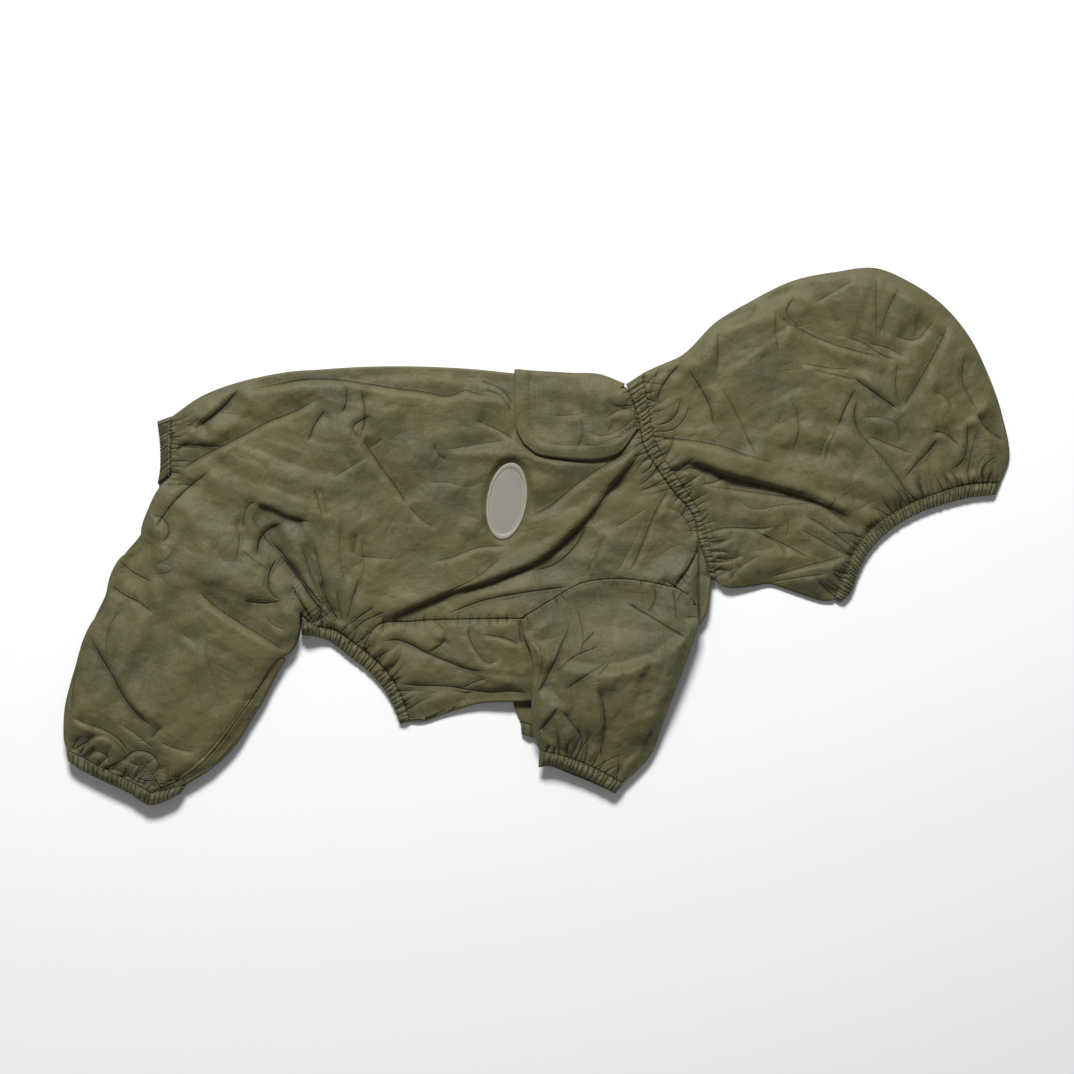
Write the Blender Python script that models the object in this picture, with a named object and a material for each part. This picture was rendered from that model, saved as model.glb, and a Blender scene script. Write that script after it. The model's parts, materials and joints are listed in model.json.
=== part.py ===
"""A small dog's raincoat with hood, sleeves and trouser legs, laid flat on its left side.

The coat lies as it is photographed: back upward in the picture, hood to the right, one
side on the table and the other on top of it.  Each cut and sewn piece is its own closed
wall of cloth.  +X runs from the tail to the hood, +Y from the belly to the back and +Z
up from the table.  Tables and working are in millimetres; meshes are made in metres.
"""
import math

import bpy
import numpy as np

MM = 0.001

# Driving sizes, mm.
WALL = 1.2            # thickness of the cloth walls
PITCH = 1.8           # from one wall's middle to the middle of the wall lying on it
FLOOR = WALL / 2      # height of the middle of a wall that rests on the table
SEAM = 0.3            # gap between two pieces at a seam
FOLD_RADIUS = PITCH / 2   # bend of a wall that is folded round on itself
ROOM = 1.4            # slack between the two sides of the coat, away from its edges
MOST_ROOM = 3.1       # most slack under a raised fold
EDGE = 11.0           # how far from the outline the slack has opened fully
TUBE = 2 * PITCH + 1.0   # rise of what lies on a flattened sleeve or leg and its cuff
SKIRT = 20.0          # how far a wall takes to settle beside something that lifts it
MARGIN = 3.0          # and how far it stays up first
SLEEVE_SKIRT = 27.0   # the same where the sleeve leaves the armhole
SLEEVE_MARGIN = 8.0
SLEEVE_PUFF = 1.5     # extra slack in the middle of the upper sleeve
RIB = 0.8             # height of the gathers along the elastic bands
DOME = 0.5            # rise of an elastic casing along its middle
HEM = 10.0            # width of the flap's hem
HEM_RISE = 0.45       # how far the doubled hem stands above the flap
FLAP_GAP = 0.5        # between the flap's neck edge and the neck band

# Seams and folds seen from above.  Columns: x, y, mesh cells to the next row.
BACK_FOLD = (
    (-205, 67, 3), (-188, 78.6, 2), (-172, 85, 2), (-158, 88.8, 2), (-145, 91.4, 1),
    (-137, 92.6, 2), (-125, 93.4, 2), (-112, 94.3, 1), (-104, 94.8, 2), (-85, 95.4, 3),
    (-57, 95, 4), (-30, 93.3, 2), (-14, 91.5, 1), (-3, 90.7, 2), (14, 90.1, 3),
    (34, 89.1, 2), (50, 83.6, 0))
TAIL_SEAM = ((-205, 67, 2), (-204.8, 50, 2), (-205, 34, 0))
REAR = ((-205, 34, 2), (-212, 26, 2), (-217.5, 15, 2), (-221, 5, 2), (-222, -3.5, 2),
        (-233.5, -12.5, 1), (-238, -20.5, 1), (-241, -33, 0))
LEG_LINE = ((-241, -33, 3), (-213, -35.4, 2), (-187, -37.6, 2), (-160, -39.7, 2),
            (-132, -42, 0))
BELLY_SEAM = ((-132, -42, 1), (-125.5, -49.3, 2), (-113, -53, 2), (-97.5, -63.5, 0))
CHEST_SEAM = ((-97.5, -63.5, 1), (-90, -50.5, 2), (-70, -47.8, 3), (-40, -46.4, 4),
              (-9, -46, 0))
ARMHOLE = ((-9, -46, 2), (8, -35.6, 2), (24, -26.6, 2), (41, -23.8, 2), (59, -24.9, 2),
           (77, -28.5, 0))
NECK_SEAM = ((50, 83.6, 2), (56.2, 69, 3), (60.3, 50, 2), (67, 39, 2), (78, 24, 1),
             (85, 16.5, 1), (89.3, 8, 1), (90.3, 0, 0))
THROAT_SEAM = ((90.3, 0, 1), (90, -7, 1), (84.5, -18.5, 2), (77, -28.5, 0))
ARMHOLE_FRONT = ((77, -28.5, 2), (84, -32.5, 1), (89.3, -38.3, 0))
ARMHOLE_BELOW = ((-9, -46, 2), (2, -59, 2), (20, -69, 2), (42, -71, 2), (62, -65, 2),
                 (76, -55.5, 2), (85, -45.5, 1), (89.3, -38.3, 0))
BELLY_FRONT = ((-97.5, -63.5, 2), (-84, -76, 2), (-74.5, -93, 1), (-71, -104, 0))
NECK_FRONT = ((90.3, 0, 1), (92.5, -7, 2), (96, -16.5, 2), (97.7, -24.3, 0))
CHEST_FOLD = (
    (-71, -104, 1), (-64, -103.8, 2), (-50, -99, 3), (-30, -93.3, 4), (-13, -92.6, 2),
    (5, -91.5, 2), (25, -89, 2), (46, -84.5, 2), (65, -76.5, 2), (79, -66, 2),
    (89.5, -51.5, 1), (95, -43.5, 1), (96.4, -37, 2), (97, -31.5, 2), (97.4, -28, 1),
    (97.6, -26.1, 1), (97.7, -24.3, 0))
HOOD_NECK = ((62, 83, 2), (63, 72, 2), (65.5, 58, 2), (70, 45.5, 2), (81, 30, 2),
             (90, 15.5, 2), (95.3, 2, 2), (98.6, -11, 1), (100.6, -24, 0))
CROWN = (
    (62, 83, 1), (71, 93, 1), (80, 100.6, 2), (101, 120.5, 2), (120, 131.7, 2),
    (143, 143, 2), (168, 148.2, 2), (190, 150.3, 2), (208, 143, 2), (227, 130.2, 2),
    (242, 112.5, 2), (253, 90.5, 2), (261, 67, 1), (264.4, 43, 1), (259.4, 29.8, 0))
CHIN = (
    (100.6, -24, 1), (103.5, -27.3, 1), (107, -28.6, 2), (113, -28.7, 2),
    (120, -28, 2), (131, -26.7, 2), (138, -28.8, 2), (144, -31, 2), (149, -32.7, 2),
    (153, -34.1, 2), (156.5, -35.2, 2), (160, -36, 2), (163, -36.2, 1), (165, -36, 1),
    (166.3, -35.4, 0))
FACE_SEAM = ((259.4, 29.8, 2), (243, 29, 2), (225, 24.3, 2), (205, 16, 2),
             (190, 6, 2), (179, -7, 2), (173.3, -19, 1), (169.5, -28.5, 2),
             (166.3, -35.4, 0))
SLEEVE_BACK = ((-9, -46, 1), (-7.3, -55, 1), (-3.4, -65, 2), (-2.3, -80, 2), (-3, -94, 2),
               (-2.3, -108, 2), (1.5, -119.5, 0))
SLEEVE_FRONT = ((89.3, -38.3, 1), (90.3, -49, 1), (87, -59.5, 2), (79, -81.5, 2),
                (71.5, -101.5, 2), (63.5, -122.5, 2), (48.5, -138.3, 0))
SLEEVE_END = ((1.5, -119.5, 3), (15, -122.7, 3), (30, -128.5, 3), (48.5, -138.3, 0))
LEFT_SLEEVE_BACK = ((-9, -46, 1), (-14, -58, 1), (-15.3, -75, 2), (-13.5, -93, 1),
                    (-9, -104.5, 0))
LEFT_SLEEVE_FRONT = ((89.3, -38.3, 1), (84, -52, 1), (73, -74, 2), (58, -101, 1),
                     (41, -120.5, 0))
LEFT_SLEEVE_END = ((-9, -104.5, 3), (20, -110.5, 3), (41, -120.5, 0))

# Sections down a hind leg.  Columns: x, y of the rear edge, of the front seam of the
# outer panel, and of the front fold; the fold is None where the seam is at the edge.
LEG = (
    (-241, -33, -132, -42, None, None),
    (-242.5, -40.5, -132.7, -55, None, None),
    (-248.5, -47.5, -137.5, -65, None, None),
    (-253.7, -58, -143.5, -68.5, -140.9, -69.3),
    (-257.5, -71, -152, -80, -147, -80),
    (-261, -83, -160, -92, -153, -92),
    (-263.8, -95, -168, -103, -160, -103),
    (-264.6, -106, -176, -114.5, -166.7, -114.5),
    (-264.3, -114, -191, -130.5, -181, -129.3),
    (-263, -119, -215, -143.5, -197, -139.5))
# Sections of the leg's inner panel above those, up to the seam between the two legs.
CROTCH = (
    (-213.5, 22, -134, -44.5, None, None),
    (-221.8, 1, -133.5, -48, None, None),
    (-231.5, -11, -133.2, -52.5, None, None),
    (-240.5, -31, -134, -58.5, None, None))

# Outer edges of the elastic bands.  Columns: x, y.
TAIL_EDGE = ((-212.5, 64.6), (-211.3, 57), (-210.6, 45), (-210.8, 37), (-211.8, 28.5))
TAIL_END = ((-205, 66.4), (-205, 34.6))
BELLY_EDGE = ((-131.6, -54.8), (-123, -56), (-117.5, -57.8), (-105, -67), (-95, -74.7),
              (-86, -84.5), (-80, -95), (-76.3, -105))
NECK_TOP = (51.2, 85.4)
NECK_EDGE = ((58.2, 90.3), (60.4, 83), (61.5, 76), (62.6, 69), (64, 61.5), (66, 54),
             (69, 47), (73.5, 40), (79.5, 31.5), (86, 21.8), (91, 13.5), (94.7, 2.5),
             (96.5, -5), (98.4, -12.5), (99.9, -20), (100.2, -24.6))
FACE_EDGE = ((257, 23.4), (243, 22), (228, 18.2), (210, 11.3), (195, 1.3), (185, -10),
             (179.3, -21.7), (174.3, -33.3), (170, -36.8))
SLEEVE_HEM = ((1, -129), (5, -128.4), (20, -133.4), (30, -137.4), (44, -143.8))
LEFT_SLEEVE_HEM = ((-8.5, -110.6), (-3, -112.2), (12, -114.5), (25, -119.5),
                   (37.5, -126.5))
LEG_HEM = ((-262, -124.8), (-257.5, -128.3), (-245, -135), (-228, -143), (-215.5, -150),
           (-209, -148.3), (-199.7, -143.6))

# The leash-hole flap.  Its fold lies over the coat's back, its hem on the side.
FLAP_FOLD = ((-12.5, 93.3, 2), (0, 92.8, 3), (20, 91.7, 2), (35, 91, 2), (49.4, 85.6, 0))
FLAP_REAR = ((-12.5, 93.3, 2), (-12.4, 75, 2), (-11.4, 60, 1), (-7.5, 52.2, 0))
FLAP_HEM = ((-7.5, 52.2, 1), (0, 46.2, 2), (12, 43.8, 3), (33, 43, 2), (44, 45.4, 1),
            (56.6, 60.5, 0))
FLAP_NECK = ((49.4, 85.6, 3), (54.6, 71.5, 2), (56.6, 60.5, 0))

# The plain oval patch on the shoulder: middle, half sizes and lean.
BADGE_X, BADGE_Y = -16.8, 19.7
BADGE_HALF_WIDTH = 11.2
BADGE_HALF_HEIGHT = 21.8
BADGE_LEAN = math.radians(8.7)
BADGE_WALL = 1.2
BADGE_RIM = 0.4
# Columns: share of the half size, 1 where the raised rim stands.
BADGE_RINGS = ((0.45, 0), (0.84, 0), (0.88, 1), (0.97, 1), (1.0, 0))
BADGE_SIDES = 24

# The largest folds of the upper side.
# Columns: x and y of one end, x and y of the other, half width, height (- is a trough).
COAT_FOLDS = (
    (-168, 80, -108, 86, 7, -1.3),     # trough along the back
    (-108, 86, -46, 79, 7, -1.3),
    (-150, 92, -60, 92, 7, 0.9),       # soft roll above it
    (-200, 40, -150, 62, 7, -1.3),     # two troughs from the tail band
    (-155, 60, -112, 79, 7.5, -1.0),
    (-193, 58, -168, 80, 6, -1.3),
    (-180, 68, -140, 84, 8, 0.9),
    (-208, 12, -184, 42, 8, -1.0),     # behind the hip
    (-163, 18, -128, 8, 7.5, -1.1),      # crumple on the hip
    (-158, -12, -141, 8, 7, -1.3),
    (-150, -2, -124, -44, 7, 1.2),
    (-140, -4, -117, -44, 7, -1.2),
    (-131, 4, -119, -40, 7, 0.9),
    (-97, 80, -100, 58, 7.5, -0.9),      # broken fold down the side
    (-100, 58, -72, 14, 7.5, -1.3),
    (-86, -46, -46, -31, 7, -1.4),     # long fold from belly to neck
    (-50, -33, 2, -16, 7.5, -1.4),
    (0, -17, 30, 6, 8, -1.3),
    (24, 2, 58, 46, 7.5, -1.2),
    (-88, -38, -10, -12, 9, 1.1),
    (-10, -8, 52, 40, 9, 1.2),
    (20, -20, 62, 42, 8, 0.9),
    (-70, -42, 12, -34, 7.5, 0.8),
    (-196, -28, -166, -49, 7.5, -1.3),   # deep fold across the top of the leg
    (-170, -47, -137, -64, 7, -1.4),
    (-205, -48, -150, -72, 13.5, 1.3),
    (-234, -62, -212, -108, 7.5, -0.9),  # down the leg
    (-222, -70, -200, -112, 12, 0.8),
    (-260, -103, -232, -112, 7.5, -1.1),
    (-236, -110, -222, -128, 7, -1.1),
    (-252, -116, -232, -124, 7.5, 1.2),
    (-218, -128, -212, -138, 7, -1.0),
    (-88, -60, -40, -68, 7.5, 1.0),      # chest
    (-78, -84, -16, -86, 7.5, -1.2),
    (-60, -66, -20, -74, 7, -0.9),
    (90.7, -12, 90.7, -46, 4, -1.3))   # pleat down the throat
HOOD_FOLDS = (
    (80, 38, 128, 27, 10.5, -1.4),        # deep fold from the neck to the face
    (120, 29, 186, 5, 10.5, -1.4),
    (80, 47, 150, 31, 15, 1.6),
    (145, 32, 196, 14, 13.5, 1.3),
    (104, 24, 160, 14, 12, 0.9),
    (100, 5, 134, 4, 10.5, -1.1),
    (132, -26, 163, -19, 11, -1.2),
    (136, -14, 168, -9, 11, 0.9),
    (66, 54, 110, 48, 9, -0.9),
    (152, 112, 200, 99, 11, -1.1),
    (205, 72, 226, 112, 11, -1.2),
    (178, 86, 204, 70, 11, -0.9),
    (182, 62, 202, 34, 12, -1.0),
    (206, 34, 226, 58, 11, 0.9),
    (244, 70, 262, 54, 11, -1.3),
    (228, 92, 240, 46, 20, 1.2),
    (110, 90, 140, 60, 27, 0.9),
    (236, 34, 246, 58, 9, -1.0))
SLEEVE_FOLDS = (
    (44, -64, 64, -112, 8, 1.1),
    (62, -80, 66, -114, 7, -1.2),
    (18, -50, 4, -84, 7.5, -1.2),
    (30, -44, 24, -100, 10.5, 0.9),
    (37, -86, 36, -120, 7.5, -1.1),
    (60, -38, 84, -56, 7.5, -1.0),
    (14, -98, 24, -120, 7, -0.9))

# Gathers that show on each band, and mesh cells along its hidden half.
TAIL_RIBS, TAIL_PLAIN = 20, 6
BELLY_RIBS, BELLY_PLAIN = 28, 14
NECK_RIBS, NECK_PLAIN = 40, 20
FACE_RIBS, FACE_PLAIN = 52, 18
SLEEVE_RIBS, SLEEVE_PLAIN = 14, 8
LEFT_SLEEVE_RIBS, LEFT_SLEEVE_PLAIN = 12, 6
LEG_RIBS, LEG_PLAIN = 14, 10
LEFT_LEG_RIBS, LEFT_LEG_PLAIN = 12, 10

# Finishes.  Columns: red, green, blue, roughness.
OLIVE = (0.125, 0.115, 0.062, 0.55)
OLIVE_DARK = (0.085, 0.080, 0.045, 0.60)
GREY = (0.33, 0.32, 0.29, 0.38)

CHEST_FADE = 2.4
HALF_TURN = (1.0, 0.5, -0.5, -1.0)   # sines of the stations round a folded edge


# ---------------------------------------------------------------- curves in the plan

def through(rows, places):
    """Points on a smooth curve through rows; place 2.5 is half way from row 2 to row 3."""
    points = np.array([row[:2] for row in rows], float)
    steps = np.linalg.norm(np.diff(points, axis=0), axis=1)
    slopes = np.diff(points, axis=0) / steps[:, None]
    tangents = np.empty_like(points)
    tangents[0], tangents[-1] = slopes[0], slopes[-1]
    share = (steps[:-1] / (steps[:-1] + steps[1:]))[:, None]
    tangents[1:-1] = slopes[:-1] * (1 - share) + slopes[1:] * share
    places = np.asarray(places, float)
    row = np.clip(places.astype(int), 0, len(points) - 2)
    t = (places - row)[:, None]
    reach = steps[row][:, None]
    return ((2 * t**3 - 3 * t**2 + 1) * points[row] + (t**3 - 2 * t**2 + t) * reach * tangents[row]
            + (3 * t**2 - 2 * t**3) * points[row + 1] + (t**3 - t**2) * reach * tangents[row + 1])


def seam(rows):
    """The mesh points along one seam, from its table of x, y and cells."""
    places = [i + k / row[2] for i, row in enumerate(rows[:-1]) for k in range(row[2])]
    return through(rows, places + [len(rows) - 1])


def edge(rows, count=60):
    """Evenly placed fine points along a table of x, y."""
    return through(rows, np.linspace(0, len(rows) - 1, count))


def chain(*parts):
    """Several runs of points as one, each starting where the last one ends."""
    return np.concatenate([parts[0]] + [part[1:] for part in parts[1:]])


def along(line, distance):
    """Points at the given distances along a line of straight runs."""
    steps = np.linalg.norm(np.diff(line, axis=0), axis=1)
    reach = np.concatenate([[0], np.cumsum(steps)])
    return np.stack([np.interp(distance, reach, line[:, k]) for k in (0, 1)], axis=1)


def length(line):
    return np.linalg.norm(np.diff(line, axis=0), axis=1).sum()


def spread(line, count):
    """The line again as count evenly placed points."""
    return along(line, np.linspace(0, length(line), count))


def patch(top, bottom, left, right, fade=1.0):
    """A grid of plan points between four sides; rows run from top to bottom.

    The bends of the left and right sides fade out across the grid.
    """
    v, u = np.meshgrid(np.linspace(0, 1, len(left)), np.linspace(0, 1, len(top)), indexing="ij")
    u, v = u[..., None], v[..., None]
    straight = (1 - v) * top[None] + v * bottom[None]
    left_bend = left[:, None] - straight[:, :1]
    right_bend = right[:, None] - straight[:, -1:]
    return straight + left_bend * (1 - u)**fade + right_bend * u**fade


def smooth(t):
    t = np.clip(t, 0, 1)
    return t * t * (3 - 2 * t)


def distance(points, outline):
    """Distance of plan points to a closed outline, and whether each is inside it."""
    a = outline
    b = np.roll(outline, -1, axis=0)
    flat = points.reshape(-1, 2)
    run = b - a
    size = np.maximum((run**2).sum(1), 1e-9)
    gap = flat[:, None] - a[None]
    t = np.clip((gap * run).sum(2) / size, 0, 1)
    nearest = np.sqrt(((gap - t[..., None] * run)**2).sum(2)).min(1)
    x, y = flat[:, None, 0], flat[:, None, 1]
    rise = np.where(run[:, 1] == 0, 1e-9, run[:, 1])
    crosses = ((a[:, 1] > y) != (b[:, 1] > y)) & (x < a[:, 0] + (y - a[:, 1]) / rise * run[:, 0])
    inside = crosses.sum(1) % 2 == 1
    return nearest.reshape(points.shape[:-1]), inside.reshape(points.shape[:-1])


def near(points, outline, skirt, margin=0.0):
    """1 up to margin mm outside an outline, falling smoothly to 0 at skirt mm."""
    gap, inside = distance(points, outline)
    return np.where(inside, 1.0, smooth((skirt - gap) / (skirt - margin)))


def folds(points, table):
    """Sum of the fold heights of a table at plan points."""
    total = np.zeros(points.shape[:-1])
    for x0, y0, x1, y1, width, height in table:
        run = np.array([x1 - x0, y1 - y0], float)
        size = np.linalg.norm(run)
        gap = points - np.array([x0, y0])
        t = (gap @ run) / size**2
        off = (gap @ np.array([-run[1], run[0]])) / size
        fade = smooth((t + 0.12) / 0.3) * smooth((1.12 - t) / 0.3)
        total += height * np.exp(-(off / width)**2) * fade
    return total


# ------------------------------------------------------------------ outlines and heights

def leg_points(columns, rows=LEG):
    return np.array([[row[columns], row[columns + 1]] for row in rows
                     if row[columns] is not None], float)


INNER_LEG = CROTCH + LEG[2:]


def coat_outline():
    """The edge of the whole coat and hood, without the sleeves."""
    top = chain(seam(BACK_FOLD)[:-3], edge(((50, 85.4), (60, 92.5), (79, 100)), 8))
    hood = chain(seam(CROWN)[3:], edge(FACE_EDGE, 24), seam(CHIN)[::-1], seam(CHEST_FOLD)[::-1])
    belly = chain(edge(BELLY_EDGE, 16)[::-1], leg_points(2)[1:3], leg_points(4))
    rear = chain(edge(LEG_HEM, 16)[::-1], leg_points(0)[::-1], seam(REAR)[::-1])
    return np.concatenate([top, hood, belly, rear, edge(TAIL_EDGE, 8)[::-1]])


def leg_outline():
    """The part of the coat between whose sides the two inner leg panels lie."""
    return np.concatenate([leg_points(0, INNER_LEG), edge(LEG_HEM, 16), leg_points(4)[::-1],
                           leg_points(2)[2:3], leg_points(2, CROTCH)[::-1]])


def oval(share):
    """The patch's outline at a share of its size."""
    angles = np.arange(BADGE_SIDES) * math.tau / BADGE_SIDES
    x = np.cos(angles) * BADGE_HALF_WIDTH * share
    y = np.sin(angles) * BADGE_HALF_HEIGHT * share
    c, s = math.cos(BADGE_LEAN), math.sin(BADGE_LEAN)
    return np.stack([BADGE_X + x * c + y * s, BADGE_Y - x * s + y * c], axis=1)


def under_sleeve_outline(back, hem, front):
    return np.concatenate([seam(ARMHOLE_BELOW), seam(front)[1:], edge(hem, 12)[::-1],
                           seam(back)[::-1]])


def flap_outline():
    return np.concatenate([seam(FLAP_REAR), seam(FLAP_HEM)[1:], seam(FLAP_NECK)[::-1],
                           seam(FLAP_FOLD)[::-1]])


def chest_outline():
    return np.concatenate([seam(CHEST_SEAM), seam(ARMHOLE_BELOW)[1:],
                           seam(CHEST_FOLD)[::-1]])


COAT = coat_outline()
LEGS = leg_outline()
FLAP = flap_outline()
CHEST = chest_outline()
LEFT_SLEEVE = under_sleeve_outline(LEFT_SLEEVE_BACK, LEFT_SLEEVE_HEM, LEFT_SLEEVE_FRONT)
RIGHT_SLEEVE = under_sleeve_outline(SLEEVE_BACK, SLEEVE_HEM, SLEEVE_FRONT)
BADGE = oval(1.0)


def openness(points, outline=COAT):
    """0 at the outline, where the two sides meet, to 1 where they lie loose."""
    gap, inside = distance(points, outline)
    return np.where(inside, smooth(gap / EDGE), 0.0)


def lower_side(points):
    """Height of the coat's lower side: on the table, or on what lies under it."""
    return (FLOOR + TUBE * near(points, LEFT_SLEEVE, SKIRT, MARGIN)
            + PITCH * near(points, FLAP, SKIRT, MARGIN))


def calm(points):
    """0 under the sleeve, the flap and the patch, where the cloth is kept flat."""
    cover = np.maximum(near(points, RIGHT_SLEEVE, 6), near(points, FLAP, 6))
    return 1 - np.maximum(cover, near(points, BADGE, 5))


def upper_side(points):
    """Height of the coat's upper side, with its largest folds."""
    wave = folds(points, COAT_FOLDS + HOOD_FOLDS) * calm(points)
    room = np.clip(ROOM + wave, 0.1, MOST_ROOM) * openness(points)
    legs = TUBE * near(points, LEGS, SKIRT, MARGIN)
    return lower_side(points) + PITCH + legs + room


def right_leg_side(points):
    return np.full(points.shape[:-1], FLOOR + TUBE)


def left_leg_side(points):
    return np.full(points.shape[:-1], FLOOR + PITCH)


def table_side(points):
    return np.full(points.shape[:-1], FLOOR)


def sleeve_under(points):
    """Height of the right sleeve's under side, over the chest and the other sleeve."""
    return (FLOOR + TUBE * near(points, LEFT_SLEEVE, SLEEVE_SKIRT, MARGIN)
            + (2 * PITCH + ROOM) * near(points, CHEST, SLEEVE_SKIRT, MARGIN))


def sleeve_top(points):
    """Height of the right sleeve's outer side, from the armhole down over the chest."""
    loose = openness(points, RIGHT_SLEEVE)
    on_chest = near(points, RIGHT_SLEEVE, SLEEVE_SKIRT, SLEEVE_MARGIN)
    wave = np.clip(SLEEVE_PUFF + folds(points, SLEEVE_FOLDS), 0.1, MOST_ROOM) * loose
    return upper_side(points) * (1 - on_chest) + (sleeve_under(points) + PITCH) * on_chest + wave


# --------------------------------------------------------------------- walls of cloth

def lift(plan, height):
    """Plan points with their heights, as points in space."""
    return np.concatenate([plan, height[..., None]], axis=-1)


def square_to(line, side):
    """Unit steps square to a line of plan points, towards the points of side."""
    run = np.gradient(line, axis=0)
    normal = np.stack([-run[:, 1], run[:, 0]], axis=1)
    normal /= np.linalg.norm(normal, axis=1, keepdims=True)
    towards = ((side - line) * normal).sum(1)
    return normal * np.where(towards < 0, -1.0, 1.0)[:, None]


def turn(first, second, upper, lower, inset=FOLD_RADIUS + WALL / 2):
    """Rows of a fold from the upper wall round to the lower one, at the line first.

    The fold's axis lies inset mm inside that line, on the side of the second line.
    """
    inward = square_to(first, second)
    axis = first + inward * inset
    top, bottom = upper(axis), lower(axis)
    middle, radius = (top + bottom) / 2, (top - bottom) / 2
    rows = []
    for sine in HALF_TURN:
        out = math.sqrt(1 - sine * sine)
        rows.append(lift(axis - inward * (inset - WALL / 2) * out, middle + radius * sine))
    return np.array(rows)


def pull_back(grid, sides, gap=SEAM / 2):
    """Draw the named sides of a plan grid in by half a seam's gap."""
    grid = grid.copy()
    pairs = {"top": ((0, slice(None)), (1, slice(None))),
             "bottom": ((-1, slice(None)), (-2, slice(None))),
             "left": ((slice(None), 0), (slice(None), 1)),
             "right": ((slice(None), -1), (slice(None), -2))}
    for side in sides:
        rim, inner = pairs[side]
        grid[rim] = grid[rim] + square_to(grid[rim], grid[inner]) * gap
    return grid


def triangles(grid, closed):
    """Faces of a grid of points, each cell cut along its shorter diagonal.

    A corner that is missing leaves its cells out.
    """
    rows, columns = grid.shape[:2]
    faces = []
    for r in range(rows - 1):
        for c in range(columns if closed else columns - 1):
            d = (c + 1) % columns
            cell = [(r, c), (r, d), (r + 1, d), (r + 1, c)]
            corners = np.array([grid[place] for place in cell])
            if np.isnan(corners).any():
                continue
            i, j, k, m = [row * columns + column for row, column in cell]
            if math.dist(corners[0], corners[2]) < math.dist(corners[1], corners[3]):
                faces += [(i, j, k), (i, k, m)]
            else:
                faces += [(i, j, m), (j, k, m)]
    return faces


def vertex_normals(points, faces):
    normals = np.zeros_like(points)
    for a, b, c in faces:
        normals[[a, b, c]] += np.cross(points[b] - points[a], points[c] - points[a])
    size = np.linalg.norm(normals, axis=1, keepdims=True)
    return normals / np.where(size == 0, 1, size)


def wall(grid, closed=False, relief=None):
    """One closed wall round a grid of middle points; relief raises its outer points."""
    faces = triangles(grid, closed)
    used = sorted({corner for face in faces for corner in face})
    points = grid.reshape(-1, 3)
    normals = vertex_normals(points, faces)
    number = {old: new for new, old in enumerate(used)}
    points, normals = points[used], normals[used]
    raised = 0 if relief is None else relief.reshape(-1)[used][:, None]
    outer = points + normals * (WALL / 2 + raised)
    inner = points - normals * WALL / 2
    count = len(used)
    faces = [tuple(number[corner] for corner in face) for face in faces]
    sides = {(face[k], face[(k + 1) % 3]) for face in faces for k in range(3)}
    solid = list(faces)
    solid += [tuple(corner + count for corner in reversed(face)) for face in faces]
    solid += [(b, a, a + count, b + count) for a, b in sorted(sides) if (b, a) not in sides]
    return np.concatenate([outer, inner]), solid


def material(name, finish):
    red, green, blue, roughness = finish
    made = bpy.data.materials.new(name)
    made.use_nodes = True
    shader = made.node_tree.nodes["Principled BSDF"]
    shader.inputs["Base Color"].default_value = (red, green, blue, 1)
    shader.inputs["Roughness"].default_value = roughness
    shader.inputs["Metallic"].default_value = 0
    return made


def add(name, solid, finish=OLIVE):
    """One named object from points in millimetres and their faces."""
    points, faces = solid
    mesh = bpy.data.meshes.new(name)
    mesh.from_pydata((points * MM).tolist(), [], faces)
    mesh.materials.append(material(name + "_cloth", finish))
    mesh.shade_smooth()
    mesh.set_sharp_from_angle(angle=math.radians(50))
    piece = bpy.data.objects.new(name, mesh)
    bpy.context.collection.objects.link(piece)
    return piece


# ----------------------------------------------------------------------- the panels

def body_plan():
    """Plan of one side of the back panel, and of the hind leg that hangs from it."""
    lower_edge = chain(seam(LEG_LINE), seam(BELLY_SEAM), seam(CHEST_SEAM), seam(ARMHOLE))
    left = chain(seam(TAIL_SEAM), seam(REAR))
    right = chain(seam(NECK_SEAM), seam(THROAT_SEAM))
    body = patch(seam(BACK_FOLD), lower_edge, left, right)
    body = pull_back(body, ("left", "right", "bottom"))
    columns = len(seam(LEG_LINE))
    body[-1, :columns - 1] = seam(LEG_LINE)[:-1]
    share = np.linalg.norm(body[-1, :columns] - body[-1, 0], axis=1)
    share = (share / share[-1])[None, :, None]
    rear, front = leg_points(0)[:, None], leg_points(2)[:, None]
    leg = rear + (front - rear) * share
    leg = pull_back(leg, ("left", "right", "bottom"))
    leg[0] = body[-1, :columns]
    return body, leg


def back_panel():
    """Both sides of the coat and the outer hind legs, in one piece folded at the back."""
    body, leg = body_plan()
    columns, leg_columns = body.shape[1], leg.shape[1]

    def padded(rows):
        blank = np.full((rows.shape[0], columns - leg_columns, 3), np.nan)
        return np.concatenate([rows, blank], axis=1)

    rows = body[1:]
    fold = turn(body[0], body[1], upper_side, lower_side)
    under = rows[1::2]
    upper_leg = padded(lift(leg, upper_side(leg))[1:])
    lower_leg = padded(lift(leg, lower_side(leg))[1:])
    upper = lift(rows, upper_side(rows))
    lower = lift(under, lower_side(under))
    sheet = np.concatenate([upper_leg[::-1], upper[::-1], fold, lower, lower_leg])
    return wall(sheet)


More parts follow.
